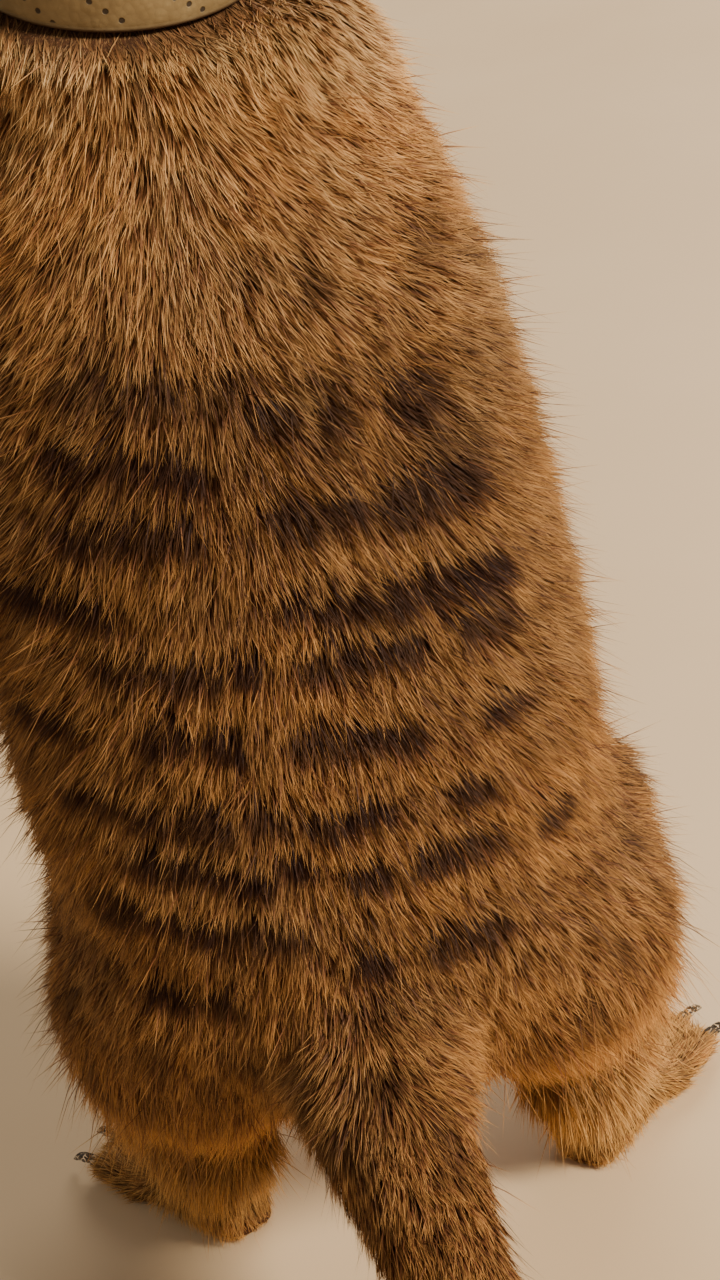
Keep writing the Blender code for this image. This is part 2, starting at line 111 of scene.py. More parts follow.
FACE_FROM = 12
FACE_ABOVE = 250
SKIN_VOXEL = 1.1
EAR_VOXEL = 0.45
GAP_BRIDGE = 0.25
SMOOTH_PASSES = 14
EAR_BRIDGE = 0.1
EAR_PASSES = 5

FOOT_SPLAY = 36

# How the coat grows on each part: how deep it is, how long, how wide and how dense the tufts are
# (to the square centimetre), how steeply they leave the skin and how they lie at the tip, in degrees.
Growth = namedtuple("Growth", "depth length width density rise lie")
DEPTH, LENGTH, WIDTH, DENSITY = range(4)
COAT = {
    "chest": Growth(4.2, 8.8, 0.22, 380, 30, 11),
    "abdomen": Growth(4.8, 8.4, 0.22, 410, 37, 15),
    "neck": Growth(4.8, 8.5, 0.22, 340, 40, 18),
    "head": Growth(2.0, 4.6, 0.17, 430, 32, 13),
    "thigh": Growth(5.4, 10.0, 0.22, 340, 37, 15),
    "shank": Growth(4.6, 9.5, 0.22, 340, 34, 14),
    "foot": Growth(1.5, 4.4, 0.18, 380, 20, 7),
    "upper_arm": Growth(4.6, 9.0, 0.24, 250, 38, 16),
    "forearm": Growth(2.8, 6.5, 0.22, 270, 34, 14),
    "hand": Growth(1.0, 3.0, 0.18, 330, 26, 10),
    "tail_base": Growth(4.0, 7.8, 0.22, 380, 36, 14),
    "tail_middle": Growth(3.0, 7.5, 0.22, 320, 32, 12),
    "tail_tip": Growth(2.6, 7.2, 0.22, 320, 30, 12),
    "ear": Growth(0.3, 2.6, 0.16, 500, 22, 8),
}
LID_GROWTH = Growth(0, 1.5, 0.16, 900, 20, 6)
STRAND_TOTAL = 480_000
PIECE_TRIANGLES = 190_000

# Along a tuft: where its corners are, and how wide it is there as a share of its width.
STATIONS = np.array((0, 0.5, 1.0))
TAPER = np.array((0.9, 1.0, 0))
TUFT_TRIANGLES = 2 * len(STATIONS) - 3
# How much of the unwrap each tuft covers, round the place of its root.
PATCH = 0.003
# How far apart clumps are and how much of the way to their middles the tips are drawn; the shares
# of long hairs that stand out, of hairs without a mark and of dark flecks among the bands.
CLUMP_APART = 2.1
CLUMP_PULL = 0.62
STRAY_SHARE = 0.03
PLAIN_SHARE = 0.07
FLECK_SHARE = 0.06
# How far clumps and single hairs turn from the lie of the coat, and how far hairs differ in rise.
CLUMP_TURN = 14
HAIR_TURN = 9
HAIR_LIFT = 5
WHISKER_WIDE = 0.19
# How far out from the strap hair is pushed, as a share of its half width, and how high off the floor.
STRAP_CLEAR = 1.03
FLOOR_CLEAR = 0.25

# The dark bands across the back: each row's height at the spine, and where its dashes are from side
# to side. The rows rise a little to the animal's left.
BANDS = (
    (182, (20, 9)),
    (176, (-8, -18, -31)),
    (169, (26, 17, 9)),
    (160.5, (-8, -16, -26, -34)),
    (158, (28, 20, 11)),
    (145.5, (37, 30, -5, -13, -22, -29, -36)),
    (136, (25, 15, 5, -6, -13, -20, -35)),
    (122.5, (40, 21, 11, -3, -10, -17, -35)),
    (110, (36, 27, 19, 8, -1, -9, -26)),
    (99.5, (30, 21, 13, 5, -7, -18, -26, -39)),
    (88, (36, 26, 17, 10)),
    (82.5, (-3, -17, -24)),
    (73, (32, 22)),
)
BAND_SLOPE = 0.15
BAND_HALF_THICK = 3.1
# How square a dash's ends are, how dark the row is between its dashes, and the random half widths.
DASH_SQUARE = 2.6
ROW_DARK = 0.30
DASH_HALF_WIDE = (3.6, 6.8)

TAIL_PATH = (
    (0, 22, 68), (-0.5, 42, 58), (-3, 57, 47), (-7, 74, 35), (-11, 94, 24), (-15.5, 116, 15),
    (-19, 140, 9.4), (-20.5, 164, 7.6), (-19, 188, 6.9), (-15, 206, 6), (-11, 217, 4.8),
)
ARM_PATH = ((21, -12, 208), (29.5, -24, 190), (36.5, -37, 168), (31.5, -55, 157), (24, -69, 145))
HAND_PATH = (ARM_PATH[-1], (19, -75, 118))
TAIL_PARTS = ("tail_base", "tail_middle", "tail_tip")


# ---- a little vector maths on arrays ----

def unit(v):
    return v / np.maximum(np.linalg.norm(v, axis=-1, keepdims=True), 1e-9)


def flat_to(v, normal):
    """The part of each vector that lies in the surface."""
    return v - normal * (v * normal).sum(-1, keepdims=True)


def ease(x, low, high):
    """0 below low, 1 above high, smooth between; the two may run either way."""
    t = np.clip((x - low) / (high - low), 0, 1)
    return t * t * (3 - 2 * t)


def mix(a, b, t):
    return a + (b - a) * t


def scramble(*keys):
    """Random numbers from 0 to 1 that depend only on whole-number keys."""
    h = np.zeros(np.shape(keys[0]), np.uint64)
    for i, key in enumerate(keys):
        salted = np.asarray(key, np.int64).astype(np.uint64) + np.uint64(0x9E3779B97F4A7C15 + i)
        h ^= salted * np.uint64(0xBF58476D1CE4E5B9)
        h ^= h >> np.uint64(29)
        h *= np.uint64(0x94D049BB133111EB)
        h ^= h >> np.uint64(32)
    return (h >> np.uint64(11)).astype(np.float64) / float(1 << 53)


def waves(points, size, seed, layers=3):
    """Smooth noise from -1 to 1 or so: sums of sine waves in random directions, size across."""
    rng = np.random.default_rng(seed)
    total = np.zeros(len(points))
    for layer in range(layers):
        for _ in range(5):
            way = unit(rng.normal(size=3))
            phase = points @ way * (2 * math.pi / size) * 1.7**layer + rng.uniform(0, 6.3)
            total += np.sin(phase) / 1.6**layer
    return total / 4.2


def head_matrix():
    """From (sideways, forward, up) on the head, in millimetres, to the animal's frame."""
    pitch = Matrix.Rotation(math.radians(-HEAD_PITCH), 4, "X")
    size = Matrix.Diagonal((HEAD_SCALE, HEAD_SCALE, HEAD_SCALE, 1))
    axes = Matrix(((1, 0, 0, 0), (0, -1, 0, 0), (0, 0, 1, 0), (0, 0, 0, 1)))
    return np.array(Matrix.Translation(HEAD_AT) @ pitch @ size @ axes)


def collar_matrix():
    tilt = Matrix.Rotation(math.radians(COLLAR_TILT), 4, "X")
    hang = Matrix.Rotation(math.radians(-COLLAR_HANG), 4, "Y")
    return np.array(Matrix.Translation(Vector(COLLAR_AT)) @ hang @ tilt)


HEAD = head_matrix()
HEAD_BACK = np.linalg.inv(HEAD)
HEAD_TURN = HEAD[:3, :3] / HEAD_SCALE
COLLAR = collar_matrix()
COLLAR_BACK = np.linalg.inv(COLLAR)


def apply(matrix, points):
    return points @ matrix[:3, :3].T + matrix[:3, 3]


def to_model(points):
    """From the animal's frame in millimetres to the model's in metres."""
    return (points + SLIDE) * MM


def to_animal(points):
    return points / MM - SLIDE


# ---- meshes ----

def link(name, data):
    made = bpy.data.objects.new(name, data)
    bpy.context.scene.collection.objects.link(made)
    return made


def dress(thing, finish):
    thing.data.materials.clear()
    thing.data.materials.append(finish)


def read(items, key, width, kind=np.float32):
    """The same row of numbers from each item of a mesh."""
    flat = np.empty(len(items) * width, kind)
    items.foreach_get(key, flat)
    return flat.reshape(-1, width)


def points_of(data):
    return read(data.vertices, "co", 3).astype(float)


def normals_of(data):
    return read(data.vertices, "normal", 3).astype(float)


def triangles_of(data, key="vertices"):
    """The vertices of each triangle, or its loops."""
    data.calc_loop_triangles()
    return read(data.loop_triangles, key, 3, np.int32)


def edges_of(data):
    return read(data.edges, "vertices", 2, np.int32)


def set_points(data, points):
    data.vertices.foreach_set("co", to_model(points).astype(np.float32).ravel())


def spread(values, edges, passes, keep=0.5):
    """Each vertex's value averaged with its neighbours', over and over."""
    a, b = edges.T
    values = values if values.ndim > 1 else values[:, None]
    size = len(values)
    count = np.bincount(np.concatenate((a, b)), minlength=size)[:, None]
    for _ in range(passes):
        total = np.empty_like(values)
        for column, value in enumerate(values.T):
            total[:, column] = np.bincount(a, value[b], size) + np.bincount(b, value[a], size)
        values = keep * values + (1 - keep) * total / np.maximum(count, 1)
    return values if values.shape[1] > 1 else values[:, 0]


def write(data, **fields):
    """Numbers kept on the vertices, for the finish to read."""
    for name, values in fields.items():
        field = data.attributes.new(name, "FLOAT", "POINT")
        field.data.foreach_set("value", np.asarray(values, np.float32).ravel())


def settle(thing):
    graph = bpy.context.evaluated_depsgraph_get()
    shaped = bpy.data.meshes.new_from_object(thing.evaluated_get(graph))
    thing.modifiers.clear()
    thing.data = shaped
    return thing


# ---- the skin ----

NOT_FLESH = ("claw", "eye", "ear", "nose", "collar", "buckle")
FLESH = sorted(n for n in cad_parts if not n.startswith(NOT_FLESH))
EARS = ("ear_left", "ear_right")
FILLED = ("eye_left", "eye_right", "nose")
KINDS = list(COAT)


def kind_of(node):
    return next(kind for kind in KINDS if node.startswith(kind))


def as_mesh(name, shape):
    data = bpy.data.meshes.new(name)
    shape.to_mesh(data)
    shape.free()
    return link(name, data)


def fused(name, shape, swell, voxel, passes):
    """One closed surface round everything in a shape, with the cuts and seams in it healed."""
    thing = as_mesh(name, shape)
    grow = thing.modifiers.new("swell", "DISPLACE")
    grow.mid_level = 0
    grow.strength = swell * MM
    fuse = thing.modifiers.new("fuse", "REMESH")
    fuse.mode = "VOXEL"
    fuse.voxel_size = voxel * MM
    relax = thing.modifiers.new("relax", "SMOOTH")
    relax.factor = 0.5
    relax.iterations = passes
    return settle(thing)


def fused_flesh():
    """The body's flesh in one piece; the seats of the eyes, the ears and the nose are filled."""
    joined = bmesh.new()
    for name in (*FLESH, *FILLED):
        joined.from_mesh(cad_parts[name].data)
    for side in (-1, 1):
        seat = bmesh.ops.create_icosphere(joined, subdivisions=3, radius=1)
        for vertex in seat["verts"]:
            local = np.array(vertex.co) * EAR_SEAT_RADII + EAR_SEAT_AT * np.array((side, 1, 1))
            vertex.co = to_model(apply(HEAD, local))
    return fused("skin", joined, GAP_BRIDGE, SKIN_VOXEL, SMOOTH_PASSES)


def fine_ear(name):
    joined = bmesh.new()
    joined.from_mesh(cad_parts[name].data)
    return fused(name + "_skin", joined, EAR_BRIDGE, EAR_VOXEL, EAR_PASSES)


def strip(name, rings, flip=False, hoop=False, capped=False):
    """A surface through closed rings of points, each joined to the next."""
    per = len(rings[0])
    faces = []
    for row in range(len(rings) if hoop else len(rings) - 1):
        here, there = row * per, (row + 1) % len(rings) * per
        for k in range(per):
            after = (k + 1) % per
            faces.append((here + k, here + after, there + after, there + k))
    if capped:
        faces.append(tuple(range(per))[::-1])
        faces.append(tuple(range(len(rings) * per - per, len(rings) * per)))
    if flip:
        faces = [face[::-1] for face in faces]
    data = bpy.data.meshes.new(name)
    data.from_pydata(to_model(np.concatenate(rings)).tolist(), [], faces)
    data.update()
    data.shade_smooth()
    return link(name, data)


def gaze_axes(side):
    """The way an eye looks, its outer corner and up, in the animal's frame."""
    gaze = unit(HEAD_TURN @ unit(np.array((side * GAZE[0], GAZE[1], GAZE[2]))))
    up = unit(flat_to(HEAD_TURN @ np.array((0, 0, 1.0)), gaze))
    outer = np.cross(up, gaze)
    outer *= np.sign(outer @ (HEAD_TURN @ np.array((side, -0.6, 0))))
    slant = math.radians(LID_SLANT)
    slanted = outer * math.cos(slant) + up * math.sin(slant)
    return gaze, slanted, up * math.cos(slant) - outer * math.sin(slant)


def eye_centre(side):
    return apply(HEAD, np.array((side * EYE_AT[0], *EYE_AT[1:])))


def round_eye(name, side, turn, angles, radii):
    """A surface round one eye: each ring has its angles from the gaze and its radius."""
    gaze, outer, up = gaze_axes(side)
    rim_way = np.cos(turn)[:, None] * outer + np.sin(turn)[:, None] * up
    rings = []
    for angle, radius in zip(angles, radii):
        way = np.cos(angle)[:, None] * gaze + np.sin(angle)[:, None] * rim_way
        rings.append(eye_centre(side) + way * radius)
    return strip(name, rings, flip=np.cross(outer, up) @ gaze > 0)


def lids(side):
    """The two lids of one eye: a shell round the ball, open in an almond, thick at its rim."""
    turn = np.linspace(0, 2 * math.pi, LID_AROUND, endpoint=False)
    wide, tall = (math.radians(half) for half in LID_OPENING)
    almond = np.abs(np.cos(turn) / wide) ** LID_SHAPE + np.abs(np.sin(turn) / tall) ** LID_SHAPE
    opening = almond ** (-1 / LID_SHAPE)
    rows = LID_RIM + tuple((LID_RIM[-1][0] + LID_STEP * step, 0.5) for step in range(1, 10))
    angles = [np.minimum(opening + beyond, math.radians(LID_REACH)) for beyond, _ in rows]
    return round_eye(f"lids_{side}", side, turn, angles, [EYE_RADIUS + out for _, out in rows])


def tree_of(points):
    tree = KDTree(len(points))
    for i, point in enumerate(points):
        tree.insert(point, i)
    tree.balance()
    return tree


def node_cloud():
    """A tree of points all over the solids of flesh, and the kind of part that each is on."""
    points, kinds = [], []
    for name in FLESH:
        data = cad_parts[name].data
        corners = points_of(data)[triangles_of(data)]
        for blend in ((1, 0, 0), (0, 1, 0), (0, 0, 1), (1 / 3, 1 / 3, 1 / 3)):
            points.append(np.einsum("nkc,k->nc", corners, np.array(blend)))
        kinds += [KINDS.index(kind_of(name))] * (4 * len(corners))
    return tree_of(np.concatenate(points)), np.array(kinds)


def near_path(points, path):
    """The nearest stretch of a path to each point: its direction, how far along and how far off."""
    path = np.array(path, float)
    lengths = np.linalg.norm(np.diff(path, axis=0), axis=1)
    run = np.concatenate(([0], np.cumsum(lengths)))
    best = np.full(len(points), np.inf)
    way = np.zeros((len(points), 3))
    along = np.zeros(len(points))
    for i, (a, b) in enumerate(zip(path, path[1:])):
        t = np.clip(((points - a) @ (b - a)) / ((b - a) @ (b - a)), 0, 1)
        gap = np.linalg.norm(points - (a + t[:, None] * (b - a)), axis=1)
        closer = gap < best
        best[closer] = gap[closer]
        way[closer] = unit(b - a)
        along[closer] = (run[i] + t[closer] * lengths[i]) / run[-1]
    return way, along, best


def is_kind(kind, *names):
    return np.isin(kind, [KINDS.index(name) for name in names]).astype(float)


def off_mouth(local):
    """How far each point on the head is from the line where the lips meet."""
    folded = np.concatenate((np.abs(local[:, :1]), local[:, 1:]), 1)
    return near_path(folded, MOUTH)[2]


def lie_of_coat(points, normals, kind, edges):
    """The way that the hair runs at each vertex, in the surface."""
    x, y, height = (points[:, i:i + 1] for i in range(3))

    def on(*names):
        return is_kind(kind, *names)[:, None] > 0

    side = x / np.sqrt(x**2 + mix(21, 5, ease(height, 195, 236)) ** 2)
    down = np.array((0, 0, -1.0))
    round_body = -side * np.cross((0, 0, 1.0), normals)
    from_belly = ease(normals[:, 1:2], -0.9, 0.0)
    fan = mix(0.50, 1.30, ease(height, 130, 215)) * mix(1, 0.42, ease(height, 216, 240))
    nape = ease(height, 206, 236) * ease(y, -22, -4)
    flow = down + round_body * from_belly * fan + nape * np.array((0, 0.9, 0))
    flow = np.where(on("thigh"), down + round_body * 0.5 + (0, 0.25, 0), flow)
    flow = np.where(on("shank"), down + (0, 0.2, 0), flow)
    mirror = np.concatenate((np.sign(x), np.ones((len(x), 2))), 1)
    splay = math.radians(FOOT_SPLAY)
    toe_ward = mirror * (math.sin(splay), -math.cos(splay), -0.25)
    flow = np.where(on("foot"), mix(toe_ward, down + (0, 0.1, 0), ease(y, -2, 8)), flow)
    for limbs, path in ((("upper_arm", "forearm"), ARM_PATH), (("hand",), HAND_PATH)):
        flow = np.where(on(*limbs), near_path(points * mirror, path)[0] * mirror, flow)
    flow = np.where(on(*TAIL_PARTS), near_path(points, TAIL_PATH)[0], flow)
    forward = apply(HEAD_BACK, points)[:, 1:2]
    on_side = ease(np.abs(normals[:, 0:1]), 0.3, 0.9)
    fall = mix(0.15, 0.75, on_side) + 0.3 * ease(forward, -5, -25)
    apart = np.sign(x) * np.array((0.25, 0, 0)) * ease(forward, 5, 25)
    flow = np.where(on("head"), -HEAD_TURN[:, 1] + down * fall + apart, flow)
    flow = spread(unit(flat_to(flow, normals)), edges, 9)
    sway = 0.18 * np.stack([waves(points, 34, seed) for seed in (5, 6, 7)], 1)
    curl = 0.20 * np.stack([waves(points, 12, seed, 2) for seed in (8, 9, 10)], 1)
    calm = np.where(on("head", "foot", "hand"), 0.3, mix(1, 0.4, ease(height, 222, 238)))
    return unit(flat_to(unit(flow) + (sway + curl) * calm, normals))


def growth_at(points, normals, kind, edges):
    """Depth, length, width, density, rise and lie of the coat at each vertex, blended between parts."""
    table = np.array([COAT[name] for name in KINDS], float)
    rows = table[kind]
    x, y, z = points.T
    local = apply(HEAD_BACK, points)
    _, forward, up = local.T
    belly = ease(normals[:, 1], -0.2, -0.8) * is_kind(kind, "chest", "abdomen")
    rows[:, LENGTH] *= 1 - 0.15 * belly
    rows[:, DENSITY] *= 1 - 0.40 * belly
    is_head, is_foot = is_kind(kind, "head"), is_kind(kind, "foot")

    def towards(weight, **target):
        for name, value in target.items():
            column = Growth._fields.index(name)
            rows[:, column] = mix(rows[:, column], value, weight)

    towards(is_head * ease(forward, 6, -12) * ease(up, 8, -12), depth=2.8, length=6.8, lie=18)
    towards(is_head * ease(forward, 0, 18), depth=1.0, length=2.9, width=0.16, density=620, lie=10)
    towards(is_head * ease(forward, 16, 33), depth=0.5, length=1.5, width=0.13, density=950, rise=22, lie=5)
    towards(is_head * ease(forward, 35, 41), depth=0.3, length=0.8, rise=14, lie=4)
    towards(is_foot * ease(y, -12, -26), depth=0.8, length=3.2, rise=14, lie=4, density=520)
    towards(is_foot * ease(y, -16, 4), depth=2.0, length=6.2, rise=22, lie=6)
    towards(is_foot * ease(z, 4, 18), depth=3.4, length=8.6, density=340, rise=30, lie=10)
    towards(is_kind(kind, "thigh") * ease(z, 64, 46), length=14.5, rise=34, lie=17)
    towards(is_kind(kind, "shank"), length=11.5, rise=38, lie=20)
    flank = ease(np.abs(x), 22, 36) * ease(z, 84, 110) * ease(z, 214, 188)
    towards(flank * is_kind(kind, "neck", "chest", "abdomen"), length=10.5, rise=42, lie=27)
    rows = spread(rows, edges, 26)
    level = apply(COLLAR_BACK, points)[:, 2]
    half = COLLAR_WIDE / 2
    towards(ease(np.abs(level), half + 9, half + 1), depth=1.0)
    below = ease(level, 0, -half) * ease(level, -half - 8, -half - 1)
    towards(below, length=7.0, rise=22, lie=10, density=480)
    above = ease(level, 0, half) * ease(level, half + 11, half + 3)
    towards(above, length=4.6, rise=52)
    rows[:, DENSITY] *= np.abs(level) > half - 0.2
    floor = ease(z, 2.4, 0.8)
    rows[:, DENSITY] *= 1 - floor * (normals[:, 2] < -0.5)
    rows[:, DEPTH] *= 1 - 0.9 * floor
    rows[:, DENSITY] *= (1 - is_head) + is_head * ease(off_mouth(local), 0.25, 0.7)
    return rows


# ---- markings ----

def bands(points):
    """How dark the bands across the back are at each point, and how near it is to their zone."""
    x, y, z = points.T
    level = z - BAND_SLOPE * x + 1.1 * waves(points, 24, 11, 2) + 0.5 * waves(points, 7, 15, 2)
    shift = 1.4 * waves(points, 17, 13, 2)
    mark = np.zeros(len(points))
    rng = np.random.default_rng(23)
    for height, dashes in BANDS:
        high = ease(height, 135, 165)
        strength = 1 - 0.15 * ease(height, 165, 190)
        for centre in dashes:
            half = rng.uniform(*DASH_HALF_WIDE) * (0.8 if abs(centre) < 9 else 1)
            thick = BAND_HALF_THICK * rng.uniform(0.84, 1.12) * mix(1, 1.15, high)
            thick *= 1.25 if centre < -20 and height > 130 else 1
            rise = rng.uniform(-1.0, 1.0)
            deep = rng.uniform(0.86, 1.0) * strength
            across = np.abs(x - centre + shift) / half
            above = np.abs(level - height - rise + 0.02 * (x - centre) ** 2) / thick
            off = (across**DASH_SQUARE + above**DASH_SQUARE + 1e-9) ** (1 / DASH_SQUARE)
            mark = np.maximum(mark, ease(off, 1.18, 0.80) * deep)
        row = ease(np.abs(level - height), BAND_HALF_THICK * 1.25, BAND_HALF_THICK * 0.5)
        mark = np.maximum(mark, row * ROW_DARK * strength)
    zone = ease(y, 0, 12) * ease(np.abs(x), 56, 45) * ease(z, 64, 76) * ease(z, 200, 188)
    parting = 0.6 * ease(np.abs(x), 1.4, 0.3) * ease(z, 214, 222) * ease(y, 4, 10)
    return np.maximum(mark * zone, parting), zone


def tones(points, normals, kind):
    """The coat's other markings at each point: pale parts, dark parts and warmth; and how bright it is,
    which is partly painted light.
    """
    _, y, z = points.T
    local = apply(HEAD_BACK, points)
    _, forward, up = local.T
    is_head, is_hand = is_kind(kind, "head") > 0, is_kind(kind, "hand") > 0

    # Belly, throat and face are pale; the crown and the muzzle less so.
    front = ease(normals[:, 1], -0.05, -0.8) * ease(y, 5, -15)
    pale = 0.58 * front * ease(z, 20, 45)
    throat = ease(z, 196, 244) * ease(y, -4, -22)
    pale = np.maximum(pale, 0.8 * throat)
    face = ease(forward, -16, 10) * 0.8 + 0.2
    crown = ease(up, 5, 13) * ease(forward, 30, 12)
    muzzle = ease(forward, 22, 32) * ease(up, -5, 0)
    cheek = mix(0.55, 1.0, ease(up, 2, -10))
    pale = np.where(is_head, face * cheek * (1 - 0.72 * crown) * (1 - 0.55 * muzzle), pale)
    pale = np.where(is_kind(kind, "foot") > 0, 0, np.where(is_hand, 0.40, pale))

    # Dark patches round the eyes, dark lips and nose, ears and tail tip.
    dark = np.zeros(len(points))
    for side in (-1, 1):
        spot = local - EYE_PATCH_AT * np.array((side, 1, 1))
        sideways, forth, rise = spot.T
        turned = np.stack((sideways, forth + 0.30 * rise, rise - 0.25 * forth), 1)
        gap = np.linalg.norm(turned / EYE_PATCH_RADII, axis=1) + 0.05 * waves(points, 7, 3, 2)
        dark = np.maximum(dark, ease(gap, 1.14, 0.86))
    lips = 0.75 * ease(off_mouth(local), 1.3, 0.4)
    dark = np.maximum.reduce((dark, 0.42 * muzzle, ease(forward, 36.5, 40), lips))
    dark = np.where(is_head, dark, 0)
    along = near_path(points, TAIL_PATH)[1]
    on_tail = is_kind(kind, *TAIL_PARTS) > 0
    dark = np.where(on_tail, ease(along, 0.80, 0.90), dark)
    dark = np.maximum(dark, is_kind(kind, "ear") * 0.92)
    dark = np.maximum(dark, 0.25 * is_kind(kind, "foot") * ease(y, -30, -38))

    # The rump is warmer than the shoulders. The shoulders, the feet and the belly are lighter, partly in
    # their own colour and partly with painted light, and painted light lifts the hair by the collar.
    warm = 0.64 - 0.34 * ease(z, 140, 205) + 0.20 * ease(z, 60, 30) + 0.20 * waves(points, 40, 31, 2)
    warm = warm + 0.30 * waves(points, 15, 33, 2) * ease(z, 120, 190)
    warm = np.where(is_head, 0.25, np.where(is_hand, 0.30, warm))
    # Painted light: brighter on the shoulders, where the key lamp falls, and on the shanks and feet, which
    # the haunches shade.
    painted_light_and_tone = 0.78 + 0.11 * ease(z, 125, 95) + 0.82 * ease(z, 172, 230)
    painted_light_and_tone = painted_light_and_tone + 1.55 * ease(z, 52, 22) * (1 - on_tail)
    # Painted light by the collar: the hair just under the strap, in its shade, is made brighter and less
    # warm.
    collar_level = apply(COLLAR_BACK, points)[:, 2] + COLLAR_WIDE / 2
    painted_light_by_collar = ease(collar_level, -9, -2) * ease(collar_level, 6, 1)
    warm = warm - 0.15 * painted_light_by_collar
    # Painted light under the strap, and painted light on the belly, which faces away from the key lamp.
    painted_light_and_tone = painted_light_and_tone * (1 + 0.22 * painted_light_by_collar) * (1 + 0.25 * front)
    painted_light_and_tone = painted_light_and_tone * (1 + 0.16 * waves(points, 12, 37, 3))
    return np.clip(pale, 0, 1), np.clip(dark, 0, 1), np.clip(warm, 0, 1), painted_light_and_tone


# ---- finishes ----

class Wire:
    """A shader socket that takes part in Python arithmetic: an expression adds its Math nodes."""

    def __init__(self, finish, socket):
        self.finish, self.socket = finish, socket

    def math(self, operation, *values):
        return self.finish.node("ShaderNodeMath", {"operation": operation}, dict(enumerate(values)))

    def __add__(self, other):
        return self.math("ADD", self, other)

    def __sub__(self, other):
        return self.math("SUBTRACT", self, other)

    def __rsub__(self, other):
        return self.math("SUBTRACT", other, self)

    def __mul__(self, other):
        return self.math("MULTIPLY", self, other)

    def __truediv__(self, other):
        return self.math("DIVIDE", self, other)

    __radd__ = __add__
    __rmul__ = __mul__

    def __abs__(self):
        return self.math("ABSOLUTE", self)

    def of(self, operation, *others):
        return self.math(operation, self, *others)

    def within(self, low, high):
        """0 at low and 1 at high, smooth between; the two may run either way."""
        return self.finish.node("ShaderNodeMapRange", {"interpolation_type": "SMOOTHSTEP"}, {
            "Value": self, "From Min": low, "From Max": high})


class Finish:
    """A material, and the nodes that its colours and relief are worked out with."""

    def __init__(self, name, **settings):
        self.material = bpy.data.materials.new(name)
        self.material.use_nodes = True
        self.tree = self.material.node_tree
        self.shader = self.tree.nodes["Principled BSDF"]
        for socket, value in settings.items():
            self.set(self.shader, socket.replace("_", " "), value)

    def set(self, node, socket, value):
        if isinstance(value, Wire):
            self.tree.links.new(value.socket, node.inputs[socket])
            return
        if isinstance(value, tuple) and len(getattr(node.inputs[socket], "default_value", ())) == 4:
            value = (*value, 1)
        node.inputs[socket].default_value = value

    def node(self, kind, settings=None, sockets=None, out=0):
        made = self.tree.nodes.new(kind)
        for name, value in (settings or {}).items():
            setattr(made, name, value)
        for name, value in (sockets or {}).items():
            self.set(made, name, value)
        return Wire(self, made.outputs[out])

    def field(self, name):
        """A number kept on the mesh."""
        return self.node("ShaderNodeAttribute", {"attribute_name": name}, out="Fac")

    def place(self):
        return self.node("ShaderNodeTexCoord", out="Object")

    def noise(self, scale, detail=3, rough=0.5):
        return self.node("ShaderNodeTexNoise", {}, {
            "Scale": scale, "Detail": detail, "Roughness": rough, "Vector": self.place()}, out=0)

    def cells(self, scale):
        return self.node("ShaderNodeTexVoronoi", {}, {
            "Scale": scale, "Vector": self.place()}, out="Distance")

    def blend(self, share, first, second, way="MIX"):
        return self.node("ShaderNodeMix", {"data_type": "RGBA", "blend_type": way}, {
            0: share, 6: first, 7: second}, out=2)

    def shaded(self, colour, amount):
        grey = self.node("ShaderNodeCombineColor", {}, {0: amount, 1: amount, 2: amount})
        return self.blend(1.0, colour, grey, "MULTIPLY")

    def relief(self, height, strength, distance):
        self.set(self.shader, "Normal", self.node("ShaderNodeBump", {}, {
            "Height": height, "Strength": strength, "Distance": distance}))

    def colour(self, value):
        self.set(self.shader, "Base Color", value)

    def rough(self, value):
        self.set(self.shader, "Roughness", value)


# The coat's colours in linear light, halfway up a hair and at its tip, and what the light and the
# pale coat are by the skin. The light and amber colours and the light root are where the hair goes where
# its tone is high, partly with painted light.
HAIR = {
    "gold": ((0.178, 0.073, 0.028), (0.500, 0.282, 0.108)),
    "warm": ((0.194, 0.067, 0.025), (0.560, 0.262, 0.068)),
    "light": ((0.290, 0.166, 0.068), (0.610, 0.430, 0.205)),
    "amber": ((0.330, 0.165, 0.050), (0.700, 0.378, 0.105)),
    "pale": ((0.360, 0.260, 0.165), (0.720, 0.590, 0.430)),
    "mark": ((0.0220, 0.0075, 0.0042), (0.0400, 0.0136, 0.0070)),
    "dark": ((0.018, 0.011, 0.008), (0.050, 0.030, 0.020)),
}
LIGHT_ROOT = (0.190, 0.108, 0.046)
PALE_ROOT = (0.130, 0.085, 0.052)


def coat_colour(finish, along, tone):
    """The coat's colour at a share of the way along a hair, with its markings."""
    warm, mark, pale, dark = (finish.field(name) for name in ("warm", "mark", "pale", "dark"))
    ripe = along.within(0.50, 0.86)
    # Where the tone is high, partly with painted light, the hair turns towards the lightest colours instead
    # of only growing brighter.
    light = tone.within(0.9, 2.5)

    def grown(name):
        return finish.blend(ripe, *HAIR[name])

    def warmed(cool, hot):
        return [finish.blend(warm, *pair) for pair in zip(HAIR[cool], HAIR[hot])]

    young, old = warmed("gold", "warm")
    hair = finish.blend(pale, finish.blend(ripe, young, old), grown("pale"))
    lightest = finish.blend(ripe, *warmed("light", "amber"))
    hair = finish.blend(light, finish.shaded(hair, tone), lightest)
    root = finish.blend(light, finish.shaded(young, tone * tone * 0.28), LIGHT_ROOT)
    root = finish.blend(pale, root, PALE_ROOT)
    hair = finish.blend(along.within(0.05, 0.60), root, hair)
    hair = finish.blend(mark, hair, grown("mark"))
    return finish.blend(dark, hair, grown("dark"))


def coat_finish():
    finish = Finish("coat", Roughness=0.6, Specular_IOR_Level=0.18)
    finish.colour(coat_colour(finish, finish.field("along"), finish.field("tone")))
    return finish.material


